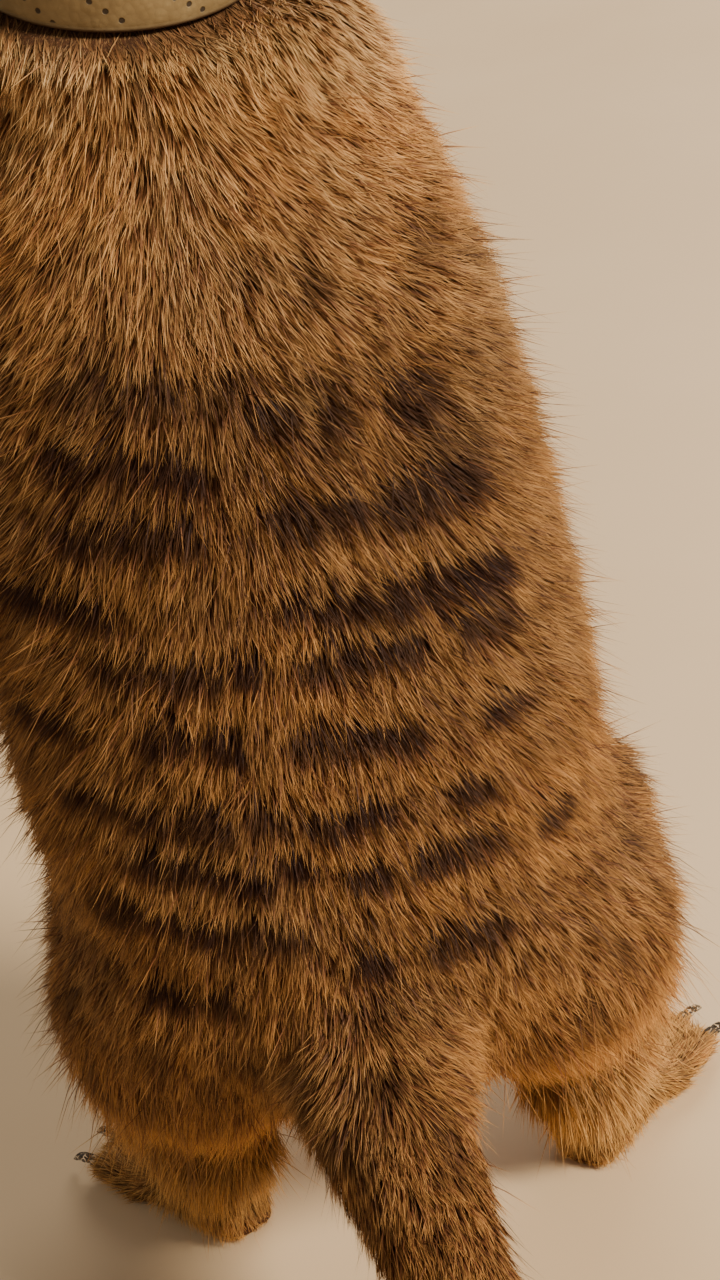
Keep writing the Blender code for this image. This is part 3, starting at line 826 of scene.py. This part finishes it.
def skin_finish():
    finish = Finish("skin", Roughness=0.8, Specular_IOR_Level=0.25)
    fine = finish.noise(1400, 3, 0.6)
    fur = coat_colour(finish, finish.field("cover") + fine * 0.25 - 0.12, fine * 1.1 + 0.3)
    bare = finish.field("bare")
    hide = finish.blend(finish.noise(600), (0.010, 0.007, 0.006), (0.024, 0.016, 0.013))
    finish.colour(finish.blend(bare, fur, hide))
    finish.rough(0.85 - bare * 0.45)
    finish.relief(fine, 0.5, 0.0003)
    return finish.material


def eye_finish():
    finish = Finish("eye", Roughness=0.12, Coat_Weight=0.6, Coat_Roughness=0.03, Specular_IOR_Level=0.4)
    iris, pupil, streak = finish.field("iris"), finish.field("pupil"), finish.field("streak")
    brown = finish.blend(streak, (0.034, 0.012, 0.005), (0.096, 0.038, 0.014))
    brown = finish.blend(iris.within(0.60, 1.0), brown, (0.010, 0.005, 0.003))
    ball_white = finish.blend(iris.within(1.02, 1.12), brown, (0.160, 0.105, 0.075))
    finish.colour(finish.blend(pupil.within(1.10, 0.94), ball_white, (0.002, 0.0015, 0.0015)))
    return finish.material


def nose_finish():
    finish = Finish("nose", Roughness=0.36, Specular_IOR_Level=0.55, Coat_Weight=0.25, Coat_Roughness=0.25)
    pebbles = finish.cells(2100)
    finish.colour(finish.blend(pebbles, (0.030, 0.021, 0.019), (0.010, 0.007, 0.007)))
    finish.rough(0.30 + pebbles * 0.35)
    finish.relief(1 - pebbles, 0.6, 0.00022)
    return finish.material


def claw_finish():
    finish = Finish("claw", Roughness=0.32, Specular_IOR_Level=0.5)
    streaks = finish.noise(420, 4, 0.6)
    finish.colour(finish.blend(streaks.within(0.35, 0.7), (0.022, 0.015, 0.011), (0.058, 0.041, 0.030)))
    finish.rough(0.26 + streaks * 0.2)
    finish.relief(streaks, 0.25, 0.0002)
    return finish.material


# The strap's pricked dots: from dot to dot, from row to row, their radius and the rows' lean.
DOT_PITCH = 2.7
DOT_ROW = 6.4
DOT_RADIUS = 0.46
DOT_LEAN = 33


def leather_finish():
    """Pale leather pricked in slanting rows, its edges stained dark."""
    finish = Finish("leather", Roughness=0.5, Specular_IOR_Level=0.45)
    around, across, edge = finish.field("around"), finish.field("across"), finish.field("edge")
    lean = math.radians(DOT_LEAN)
    on_row = around * math.cos(lean) - across * math.sin(lean)
    off_row = around * math.sin(lean) + across * math.cos(lean)
    one = (on_row / DOT_PITCH).of("FRACT") - 0.5
    two = (off_row / DOT_ROW).of("FRACT") - 0.5
    far = ((one * DOT_PITCH).of("POWER", 2) + (two * DOT_ROW).of("POWER", 2)).of("SQRT")
    dot = far.within(DOT_RADIUS * 1.15, DOT_RADIUS * 0.75) * abs(across).within(
        COLLAR_WIDE / 2 - 0.9, COLLAR_WIDE / 2 - 1.3)
    grain = finish.cells(900)
    cloud = finish.noise(160, 4, 0.6)
    worn = finish.blend(cloud.within(0.3, 0.7), (0.215, 0.150, 0.064), (0.305, 0.225, 0.108))
    worn = finish.blend(grain * 0.35, worn, (0.150, 0.095, 0.040))
    dyed = finish.blend(edge, worn, (0.052, 0.026, 0.014))
    finish.colour(finish.blend(dot, dyed, (0.040, 0.026, 0.014)))
    finish.rough(0.42 + cloud * 0.2 + dot * 0.2)
    finish.relief(0.4 * (1 - grain) + 0.2 * cloud - dot, 0.6, 0.00025)
    return finish.material


def brass_finish():
    finish = Finish("brass", Metallic=1.0, Roughness=0.3)
    brushed = finish.noise(260, 5, 0.7)
    finish.colour(finish.blend(brushed.within(0.3, 0.75), (0.520, 0.375, 0.165), (0.700, 0.540, 0.280)))
    finish.rough(0.22 + brushed * 0.25)
    finish.relief(brushed, 0.15, 0.0001)
    return finish.material


# ---- growing the coat ----

def clump_centres(points, size, seed):
    """The nearest of a field of scattered points, size apart, and a whole number that names it."""
    cell = np.floor(points / size).astype(np.int64)
    best = np.full(len(points), np.inf)
    centre = np.zeros_like(points)
    name = np.zeros(len(points), np.int64)
    for step in product((-1, 0, 1), repeat=3):
        near = cell + step
        jitter = [scramble(*near.T, np.full(len(near), seed + i)) for i in range(3)]
        spot = (near + np.stack(jitter, 1)) * size
        gap = ((spot - points) ** 2).sum(1)
        closer = gap < best
        best[closer] = gap[closer]
        centre[closer] = spot[closer]
        name[closer] = (near[closer] * np.array((73856093, 19349663, 83492791))).sum(1)
    return centre, name


def sow(corners, density, total, rng):
    """Places for roots: the triangle that each is on and its place on it, evenly by density."""
    a, b, c = (corners[:, i] for i in range(3))
    area = 0.5 * np.linalg.norm(np.cross(b - a, c - a), axis=1)
    share = np.cumsum(area * density)
    share /= share[-1]
    picks = (np.arange(total) + rng.uniform(0, 1, total)) / total
    triangle = np.searchsorted(share, picks)
    r, s = np.sqrt(rng.uniform(0, 1, total)), rng.uniform(0, 1, total)
    return np.clip(triangle, 0, len(area) - 1), np.stack((1 - r, r * (1 - s), r * s), 1)


def bend(roots, normal, way, length, lift, rest, droop):
    """Lines that leave the skin at one angle and end lying at another."""
    line = np.zeros((len(roots), len(STATIONS), 3))
    line[:, 0] = roots
    for i in range(1, len(STATIONS)):
        before, here = STATIONS[i - 1:i + 1]
        angle = mix(lift, rest, (here + before) / 2)[:, None]
        heading = way * np.cos(angle) + normal * np.sin(angle)
        line[:, i] = line[:, i - 1] + heading * (length * (here - before))[:, None]
        line[:, i, 2] -= droop * length * (here**2 - before**2)
    return line


def broad(normal, way, width, roll):
    """Half of each ribbon's width as a vector, at each station."""
    side = unit(np.cross(normal, way))
    side = side * np.cos(roll)[:, None] + normal * np.sin(roll)[:, None]
    return side[:, None] * (width[:, None] * TAPER / 2)[..., None]


def grow(roots, normal, flow, growth, rng):
    """Every tuft's middle line and half-width vectors, and the clump that it is in."""
    count = len(roots)
    _, length, width, _, rise, lie = growth.T
    centre, name = clump_centres(roots, CLUMP_APART, 41)
    group = [scramble(name, np.full(count, k)) for k in range(4)]
    long_coat = ease(length, 5, 8)
    stray = (rng.uniform(0, 1, count) < STRAY_SHARE) * long_coat
    length = length * (0.74 + 0.26 * group[0] + 0.22 * rng.uniform(-1, 1, count)) * (1 + 0.5 * stray)
    turn = CLUMP_TURN * (group[1] - 0.5) * 2 + rng.normal(0, HAIR_TURN, count) * (1 + stray)
    turn = np.radians(turn)
    across = np.cross(normal, flow)
    way = flow * np.cos(turn)[:, None] + across * np.sin(turn)[:, None]
    lift = np.radians(rise * (0.8 + 0.4 * group[2]) + rng.normal(0, HAIR_LIFT, count) + 8 * stray)
    rest = np.radians(lie * (0.5 + group[3]) + rng.normal(0, HAIR_LIFT, count) + 13 * stray)
    line = bend(roots, normal, way, length, lift, rest, 0.05)
    inward = flat_to(centre - roots, normal)
    pull = CLUMP_PULL * (1 - 0.7 * stray)
    line += inward[:, None] * pull[:, None, None] * (STATIONS**1.4)[:, None]
    width = width * rng.uniform(0.7, 1.2, count) * (1 - 0.25 * stray)
    half = broad(normal, way, width, rng.uniform(-0.9, 0.9, count))
    return line, half, name


def comb_clear(line):
    """Lifts hair off the strap, and off the floor."""
    ring = apply(COLLAR_BACK, line)
    wide, deep = COLLAR_HALF_WIDTH + COLLAR_THICK, COLLAR_HALF_DEPTH + COLLAR_THICK
    out = np.hypot(ring[..., 0] / wide, ring[..., 1] / deep)
    inside = (np.abs(ring[..., 2]) < COLLAR_WIDE / 2 + 0.3) & (out < STRAP_CLEAR) & (STATIONS > 0)
    ring[..., :2] *= np.where(inside, STRAP_CLEAR / np.maximum(out, 0.5), 1)[..., None]
    line = np.where(inside[..., None], apply(COLLAR, ring), line)
    line[..., 2] = np.maximum(line[..., 2], FLOOR_CLEAR)
    return line


def tufts(name, line, half, patch, fields):
    """A mesh of tapered ribbons: two corners at each station and one at the tip."""
    count, steps = line.shape[:2]
    per = 2 * (steps - 1) + 1
    points = np.empty((count, per, 3))
    points[:, 0:-1:2] = line[:, :-1] - half[:, :-1]
    points[:, 1:-1:2] = line[:, :-1] + half[:, :-1]
    points[:, -1] = line[:, -1]
    points[..., 2] = np.maximum(points[..., 2], 0.05)
    quads = [(2 * k, 2 * k + 1, 2 * k + 3, 2 * k + 2) for k in range(steps - 2)]
    faces = [corner for quad in quads for corner in quad] + [per - 3, per - 2, per - 1]
    loops = (np.arange(count)[:, None] * per + np.array(faces)).ravel()
    sizes = np.tile([4] * len(quads) + [3], count)
    data = bpy.data.meshes.new(name)
    data.vertices.add(count * per)
    set_points(data, points.reshape(-1, 3))
    data.loops.add(len(loops))
    data.loops.foreach_set("vertex_index", loops.astype(np.int32))
    data.polygons.add(len(sizes))
    starts = np.concatenate(([0], np.cumsum(sizes)[:-1]))
    data.polygons.foreach_set("loop_start", starts.astype(np.int32))
    data.update(calc_edges=True)
    along = np.append(np.repeat(STATIONS[:-1], 2), 1.0)
    spot = np.empty((count, per, 2))
    spot[..., 0] = patch[:, None, 0] + np.append(np.tile((-1, 1), steps - 1), 0) * PATCH / 2
    spot[..., 1] = patch[:, None, 1] + (along - 0.5) * PATCH
    layer = data.uv_layers.new(name="OFBake")
    layer.uv.foreach_set("vector", spot.reshape(-1, 2)[loops].astype(np.float32).ravel())
    write(data, along=np.tile(along, count), **{k: np.repeat(v, per) for k, v in fields.items()})
    data.shade_smooth()
    return link(name, data)


def unwrap(thing):
    """The skin's own unwrap, which the coat's patches sit on."""
    bpy.context.view_layer.objects.active = thing
    thing.select_set(True)
    thing.data.uv_layers.new(name="OFBake")
    bpy.ops.object.mode_set(mode="EDIT")
    bpy.ops.mesh.select_all(action="SELECT")
    bpy.ops.uv.smart_project(angle_limit=math.radians(66), island_margin=0.002)
    bpy.ops.object.mode_set(mode="OBJECT")
    thing.select_set(False)


GROUPS = {
    "back": ("chest", "abdomen"),
    "neck": ("neck",),
    "head": ("head", "ear"),
    "haunches": ("thigh",),
    "legs": ("shank", "foot"),
    "arms": ("upper_arm", "forearm", "hand"),
    "tail": TAIL_PARTS,
}

# What is known at each vertex of the skin: where the coat's outside is, where the skin is, which way
# it faces, which way its hair lies, how the hair grows, which part it is on and how bare it is.
Hide = namedtuple("Hide", "outside inside normal flow growth kind bare")


def refine_face(data):
    """Twice as many vertices on the face, for the lips and the short coat."""
    on_face = apply(HEAD_BACK, to_animal(points_of(data)))[:, 1] > FACE_FROM
    shape = bmesh.new()
    shape.from_mesh(data)
    edges = []
    for edge in shape.edges:
        a, b = edge.verts
        if on_face[a.index] and on_face[b.index] and a.co.z > FACE_ABOVE * MM:
            edges.append(edge)
    bmesh.ops.subdivide_edges(shape, edges=edges, cuts=1, use_grid_fill=True)
    shape.to_mesh(data)
    shape.free()


def body_hide(skin):
    data = skin.data
    refine_face(data)
    tree, cloud_kinds = node_cloud()
    points = points_of(data)
    kind = cloud_kinds[[tree.find(point)[1] for point in points]]
    points = to_animal(points)
    normals = normals_of(data)
    edges = edges_of(data)
    even = unit(spread(normals, edges, 4))
    below = apply(COLLAR_BACK, points)[:, 2:3] + COLLAR_WIDE / 2
    slope = unit(mix(even, unit(spread(even, edges, 36)), ease(below, -14, -4) * ease(below, 8, 2)))
    flow = lie_of_coat(points, slope, kind, edges)
    growth = growth_at(points, normals, kind, edges)
    is_head, lips = is_kind(kind, "head"), off_mouth(apply(HEAD_BACK, points))
    depth = growth[:, DEPTH] + 0.75 * is_head * ease(lips, 1.0, 0.2)
    inside = points - even * depth[:, None]
    inside[:, 2] = np.maximum(inside[:, 2], np.where(points[:, 2] < 1.2, 0.0, 0.35))
    inside = mix(inside, spread(inside, edges, 3), mix(0.7, 0.25, is_head)[:, None])
    return Hide(points, inside, slope, flow, growth, kind, is_head * ease(lips, 0.9, 0.3))


def ear_hide(thing, side):
    points, normals = to_animal(points_of(thing.data)), normals_of(thing.data)
    open_way = HEAD_TURN @ unit(np.array((side * 0.8, 0.55, 0.1)))
    in_cup = ease(normals @ open_way, 0.2, 0.7)
    rim_ward = HEAD_TURN @ np.array((0, -0.35, 1.0))
    flow = unit(flat_to(np.tile(rim_ward, (len(points), 1)) + 0.6 * open_way, normals))
    growth = np.tile(np.array(COAT["ear"], float), (len(points), 1))
    growth[:, LENGTH] *= 1 - 0.35 * in_cup
    growth[:, DENSITY] *= 1 - 0.55 * in_cup
    kind = np.full(len(points), KINDS.index("ear"))
    inside = points - normals * growth[:, [DEPTH]]
    return Hide(points, inside, normals, flow, growth, kind, in_cup * 0.8)


def lid_hide(thing, side):
    points, normals = to_animal(points_of(thing.data)), normals_of(thing.data)
    gaze, _, _ = gaze_axes(side)
    outward = unit(flat_to(points - eye_centre(side), gaze))
    flow = unit(flat_to(outward - 0.8 * HEAD_TURN[:, 1], normals))
    ring = np.arange(len(points)) // LID_AROUND
    growth = np.tile(np.array(LID_GROWTH, float), (len(points), 1))
    growth[:, DENSITY] *= ease(ring, 2, 4) * ease(ring, 13, 11)
    growth[:, LENGTH] *= mix(0.5, 1.5, ease(ring, 2, 8))
    kind = np.full(len(points), KINDS.index("head"))
    return Hide(points, points, normals, flow, growth, kind, ease(ring, 5, 2.5))


def make_skin():
    """The skin of body, ears and lids in one mesh, and what is known at each of its vertices."""
    skin = fused_flesh()
    data = skin.data
    parts = [(fine_ear(name), side, ear_hide) for name, side in zip(EARS, (1, -1))]
    parts += [(lids(side), side, lid_hide) for side in (1, -1)]
    hides = [body_hide(skin)] + [hide_of(part, side) for part, side, hide_of in parts]
    joined = bmesh.new()
    joined.from_mesh(data)
    for part, _, _ in parts:
        joined.from_mesh(part.data)
        bpy.data.objects.remove(part)
    joined.to_mesh(data)
    joined.free()
    hide = Hide(*(np.concatenate(column) for column in zip(*hides)))
    set_points(data, hide.inside)
    data.update()
    data.shade_smooth()
    pale, dark, warm, _ = tones(hide.outside, hide.normal, hide.kind)
    mark, _ = bands(hide.outside)
    cover = 0.85 - 0.6 * ease(hide.growth[:, LENGTH], 1.2, 5.0)
    write(data, mark=mark * 0.9, pale=pale, dark=dark, warm=warm, cover=cover, bare=hide.bare)
    unwrap(skin)
    dress(skin, skin_finish())
    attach(skin, "root")
    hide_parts(*FLESH, *EARS)
    return data, hide


def tuft_fields(outside, normal, kind, line, clump, rng):
    """What the finish reads on each tuft: its markings, its warmth and how light it is, partly with painted
    light.
    """
    count = len(outside)
    pale, dark, warm, painted_light_and_tone = tones(outside, normal, kind)
    mark, zone = bands(mix(line[:, 0], line[:, -1], 0.8))
    plain = rng.uniform(0, 1, count) > 1 - PLAIN_SHARE
    fleck = rng.uniform(0, 1, count) < FLECK_SHARE
    mark = np.clip(mark + 0.5 * fleck * zone - 0.7 * plain, 0, 1)
    height = outside[:, 2]
    behind = ease(normal[:, 1], -0.3, 0.2)
    below_neck = ease(height, 225, 200)
    upper = ease(height, 150, 165) * below_neck
    lower = ease(height, 44, 62) * (1 - upper) * below_neck * (1 - 0.7 * zone)
    mottle = waves(outside, 13, 43, 2)
    mark = np.maximum(mark, behind * upper * 0.64 * ease(mottle, 0.08, 0.85))
    mark = np.maximum(mark, behind * lower * 0.62 * ease(mottle, -0.05, 0.75))
    tone = 0.46 + 0.36 * scramble(clump, np.full(count, 9)) + 0.62 * rng.uniform(0, 1, count) ** 1.2
    tone = mix(tone, 0.95, 0.5 * ease(height, 185, 225) + 0.6 * ease(height, 56, 30))
    # The tone takes on the brightness from tones(), which is partly painted light.
    tone = tone * painted_light_and_tone * (1 + 0.12 * zone)
    return {"mark": mark, "pale": pale, "dark": dark, "warm": warm, "tone": tone}


def make_coat(data, hide, finish):
    """Every tuft of the coat, in pieces by the parts of the body."""
    rng = np.random.default_rng(7)
    corners, loops = triangles_of(data), triangles_of(data, "loops")
    density = hide.growth[corners, DENSITY].mean(1)
    triangle, share = sow(hide.inside[corners], density, STRAND_TOTAL, rng)

    def at_roots(values, ids=corners):
        return np.einsum("nk...,nk->n...", values[ids[triangle]], share)

    outside, roots, normal, flow, growth = (at_roots(values) for values in hide[:5])
    normal = unit(normal)
    flow = unit(flat_to(flow, normal))
    patch = at_roots(read(data.uv_layers["OFBake"].uv, "vector", 2), loops)
    patch = np.clip(patch, PATCH, 1 - PATCH)
    line, half, clump = grow(roots, normal, flow, growth, rng)
    line = comb_clear(line)
    kind = hide.kind[corners[triangle, 0]]
    fields = tuft_fields(outside, normal, kind, line, clump, rng)
    for group, names in GROUPS.items():
        member = np.flatnonzero(is_kind(kind, *names))
        member = member[np.argsort(roots[member, 2])]
        slices = math.ceil(len(member) * TUFT_TRIANGLES / PIECE_TRIANGLES)
        for number, chosen in enumerate(np.array_split(member, slices), 1):
            piece = tufts(f"coat_{group}_{number}", line[chosen], half[chosen], patch[chosen],
                          {name: values[chosen] for name, values in fields.items()})
            dress(piece, finish)
            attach(piece, "root")


def make_whiskers(hide, finish):
    """Long tapered hairs on the lips, over the eyes and on the chin."""
    rng = np.random.default_rng(19)
    # Each hair's root on the head, sideways, forward and up, and its length.
    spots = [(6.6 + 0.7 * row, 37.2 - 3.0 * column, -1.2 - 1.6 * row, 17 + 2.5 * column)
             for row in range(3) for column in range(4)]
    spots += [(11.0 + 1.6 * k, 20.5 - 1.5 * k, 11.5 - 0.3 * k, 12) for k in range(3)]
    spots += [(2.4, 34 - 5 * k, -10.5, 8) for k in range(2)]
    head = hide.inside[is_kind(hide.kind, "head") > 0]
    tree = tree_of(head)
    roots, ways, lengths = [], [], []
    for side in (-1, 1):
        for sideways, forward, up, long in spots:
            place = apply(HEAD, np.array((side * sideways, forward, up)) + rng.normal(0, 0.35, 3))
            roots.append(head[tree.find(place)[1]])
            aim = np.array((side * 1.0, 0.15, 0.9 if up > 5 else -0.22)) + rng.normal(0, 0.13, 3)
            ways.append(unit(HEAD_TURN @ aim))
            lengths.append(long * rng.uniform(0.85, 1.15))
    roots, ways, lengths = np.array(roots), np.array(ways), np.array(lengths)
    whole = np.ones(len(roots))
    sky = unit(flat_to(np.tile((0.0, -0.5, 1.0), (len(roots), 1)), ways))
    line = bend(roots, sky, ways, lengths, 0.18 * whole, -0.30 * whole, 0.03)
    half = [broad(sky, ways, WHISKER_WIDE * whole, roll * whole) for roll in (0, 1.57)]
    line, half = np.concatenate((line, line)), np.concatenate(half)
    whole = np.ones(len(line))
    piece = tufts("whiskers", line, half, np.full((len(line), 2), 0.5), {
        "mark": 0 * whole, "pale": 0 * whole, "dark": whole, "warm": 0 * whole, "tone": whole})
    dress(piece, finish)
    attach(piece, "root")


# ---- eyes, nose and claws ----

def make_eye(word, side, finish):
    """A ball with a bulging cornea, a brown iris and a pupil that is wider than tall."""
    turn = np.linspace(0, 2 * math.pi, EYE_AROUND, endpoint=False)
    angle = np.linspace(0.012, math.pi - 0.012, EYE_ROWS)
    iris = angle / math.radians(IRIS)
    radii = (EYE_RADIUS - 0.12) * (1 + CORNEA_BULGE * np.clip(1 - iris**2, 0, 1))
    eye = round_eye(f"eyeball_{word}", side, turn, [np.full(EYE_AROUND, a) for a in angle], radii)
    wide, tall = (math.radians(half) for half in PUPIL)
    angle, turn = np.repeat(angle, EYE_AROUND), np.tile(turn, EYE_ROWS)
    pupil = np.hypot(angle * np.cos(turn) / wide, angle * np.sin(turn) / tall)
    streak = 0.5 + 0.35 * np.sin(turn * 23 + 2 * np.sin(turn * 5)) * np.sin(angle * 9)
    streak = np.clip(streak + 0.2 * np.sin(turn * 41), 0, 1)
    write(eye.data, iris=np.repeat(iris, EYE_AROUND), pupil=pupil, streak=streak)
    dress(eye, finish)
    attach(eye, "root")
    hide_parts(f"eye_{word}")


def make_nose():
    """The nose pad, with its two curled nostrils and the groove below them."""
    mesh = bmesh.new()
    bmesh.ops.create_icosphere(mesh, subdivisions=6, radius=1)
    ways = np.array([tuple(vertex.co) for vertex in mesh.verts])
    x, forward, up = ways[:, 0], ways[:, 1], ways[:, 2]
    # Each nostril is a row of dents that curls outward and down, shallower as it goes.
    dent = np.zeros(len(ways))
    for side in (-1, 1):
        for t in np.linspace(0, 1, 7):
            slot = unit(np.array((side * (0.42 + 0.44 * t), 0.86 - 0.42 * t, 0.02 - 0.32 * t * t)))
            gap = np.linalg.norm(ways - slot, axis=1)
            dent = np.maximum(dent, (0.34 - 0.16 * t) * np.exp(-((gap / (0.19 - 0.05 * t)) ** 2)))
    groove = 0.10 * np.exp(-((x / 0.07) ** 2)) * ease(up, 0.35, -0.3) * (forward > 0)
    flat_top = 0.10 * ease(up, 0.45, 1.0)
    wings = 0.05 * ease(np.abs(x), 0.45, 0.9) * ease(up, -0.6, 0.2)
    local = ways * (1 - dent - groove - flat_top + wings)[:, None] * NOSE_RADII + NOSE_AT
    for vertex, point in zip(mesh.verts, to_model(apply(HEAD, local))):
        vertex.co = point
    nose = as_mesh("nose_pad", mesh)
    nose.data.shade_smooth()
    dress(nose, nose_finish())
    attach(nose, "root")
    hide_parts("nose")


def finish_claws():
    horn = claw_finish()
    for name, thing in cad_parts.items():
        if name.startswith("claw"):
            dress(thing, horn)
            round_off = thing.modifiers.new("round", "SUBSURF")
            round_off.levels = round_off.render_levels = 2
            thing.data.shade_smooth()


# ---- collar ----

# A strap's outline, first one edge and then its inner side: how far across and how far out each
# corner is, as a share, and how dark it is dyed.
STRAP_EDGE = (
    (-1, 0.5, 1), (-1, 0.8, 1), (-0.985, 0.93, 1), (-0.955, 0.985, 0.9), (-0.91, 1.0, 0.4),
    (-0.88, 0.97, 0.2), (-0.85, 0.985, 0.0),
)
STRAP_BACK = ((1, 0.2, 1), (0.96, 0.03, 1), (0.5, 0, 0.6), (-0.5, 0, 0.6), (-0.96, 0.03, 1), (-1, 0.2, 1))


def strap(name, angles, inner, outer, half_wide, ends=None):
    """A strap round the neck between two depths, its edges rounded, over a run of angles."""
    face = [(level, 1.0, 0.0) for level in np.linspace(-0.80, 0.80, 23)]
    far_edge = [(-level, out, dark) for level, out, dark in reversed(STRAP_EDGE)]
    level, out, dark = np.array((*STRAP_EDGE, *face, *far_edge, *STRAP_BACK)).T
    wide = COLLAR_HALF_WIDTH + inner + (outer - inner) * out
    deep = COLLAR_HALF_DEPTH + inner + (outer - inner) * out
    rings, across = [], []
    for angle, narrow in zip(angles, np.ones(len(angles)) if ends is None else ends):
        across.append(level * half_wide * narrow)
        ring = np.stack((wide * math.cos(angle), deep * math.sin(angle), across[-1]), 1)
        rings.append(apply(COLLAR, ring))
    made = strip(name, rings, flip=True, hoop=ends is None, capped=ends is not None)
    around = np.repeat(angles * (COLLAR_HALF_WIDTH + COLLAR_THICK), len(level))
    write(made.data, around=around, across=np.concatenate(across), edge=np.tile(dark, len(angles)))
    return made


def make_collar():
    leather = leather_finish()
    full = np.linspace(0, 2 * math.pi, 260, endpoint=False)
    main = strap("collar_strap", full, 0.05, COLLAR_THICK - 0.05, COLLAR_WIDE / 2 - 0.05)
    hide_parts("collar")
    tip_run = np.radians(np.linspace(*TIP_ANGLES, 60))
    taper = np.sqrt(np.clip(1 - ((np.arange(60) - 48) / 11.6).clip(0, 1) ** 2, 0.004, 1))
    tip = strap("collar_tip", tip_run, COLLAR_THICK, COLLAR_THICK + 1.5, COLLAR_WIDE / 2 - 0.9, taper)
    keeper_run = np.radians(np.linspace(*KEEPER_ANGLES, 14))
    low, high = COLLAR_THICK + 1.4, COLLAR_THICK + 2.6
    keeper = strap("collar_keeper", keeper_run, low, high, COLLAR_WIDE / 2 + 0.6, np.ones(14))
    for piece in (main, tip, keeper):
        dress(piece, leather)
        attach(piece, "root")
    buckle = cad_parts["buckle"]
    dress(buckle, brass_finish())
    soften = buckle.modifiers.new("soften", "BEVEL")
    soften.width, soften.segments, soften.limit_method = 0.55 * MM, 3, "ANGLE"
    buckle.data.shade_smooth()


# ---- floor, light and camera ----

FLOOR_HALF = 6

# Each lamp's place, what it is aimed at, how far across it is, its power and its colour.
LAMPS = {
    "key": ((-1.20, 0.48, 1.00), (0, 0, 0.13), 0.45, 40, (1.0, 0.88, 0.72)),
    "fill": ((1.1, 0.4, 0.9), (0, 0, 0.12), 0.9, 1.0, (1.0, 0.86, 0.70)),
    "front": ((-0.5, -1.4, 0.9), (0, 0, 0.15), 0.9, 12, (1.0, 0.90, 0.78)),
}
ROOM_COLOUR = (1.0, 0.90, 0.78)
ROOM_LIGHT = 0.24


def floor_finish():
    finish = Finish("floor", Roughness=0.5, Specular_IOR_Level=0.35)
    cloud = finish.noise(4, 4, 0.55)
    finish.colour(finish.blend(cloud.within(0.3, 0.7), (0.800, 0.585, 0.355), (0.860, 0.650, 0.410)))
    return finish.material


def make_floor():
    mesh = bmesh.new()
    bmesh.ops.create_grid(mesh, x_segments=1, y_segments=1, size=FLOOR_HALF)
    floor = as_mesh("floor", mesh)
    dress(floor, floor_finish())


CAMERA_AIM = (-12.6, 0, 119.0)
CAMERA_AZIMUTH = 181.63
CAMERA_ELEVATION = 30
CAMERA_ROLL = -12.7
CAMERA_DISTANCE = 420
CAMERA_LENS = 67.7


def make_camera():
    azimuth, elevation = math.radians(CAMERA_AZIMUTH), math.radians(CAMERA_ELEVATION)
    level = math.cos(elevation)
    back = Vector((math.sin(azimuth) * level, -math.cos(azimuth) * level, math.sin(elevation)))
    aim = Vector(to_model(np.array(CAMERA_AIM, float)))
    data = bpy.data.cameras.new("camera")
    data.sensor_width = 36
    data.lens = CAMERA_LENS
    data.clip_start = 0.01
    made = link("camera", data)
    roll = Matrix.Rotation(math.radians(CAMERA_ROLL), 3, "Z")
    turn = (-back).to_track_quat("-Z", "Y").to_matrix() @ roll
    made.matrix_world = Matrix.Translation(aim + back * CAMERA_DISTANCE * MM) @ turn.to_4x4()
    bpy.context.scene.camera = made


def make_light():
    room = bpy.data.worlds.new("room")
    room.use_nodes = True
    background = room.node_tree.nodes["Background"].inputs
    background["Color"].default_value = (*ROOM_COLOUR, 1)
    background["Strength"].default_value = ROOM_LIGHT
    bpy.context.scene.world = room
    for name, (place, aim, size, power, colour) in LAMPS.items():
        light = bpy.data.lights.new(name, "AREA")
        light.shape, light.size = "DISK", size
        light.energy, light.color = power, colour
        made = link(name, light)
        made.location = place
        made.rotation_euler = (Vector(aim) - Vector(place)).to_track_quat("-Z", "Y").to_euler()


skin_mesh, hide_of_skin = make_skin()
fur = coat_finish()
make_coat(skin_mesh, hide_of_skin, fur)
make_whiskers(hide_of_skin, fur)
wet = eye_finish()
make_eye("left", 1, wet)
make_eye("right", -1, wet)
make_nose()
finish_claws()
make_collar()
make_floor()
make_light()
make_camera()
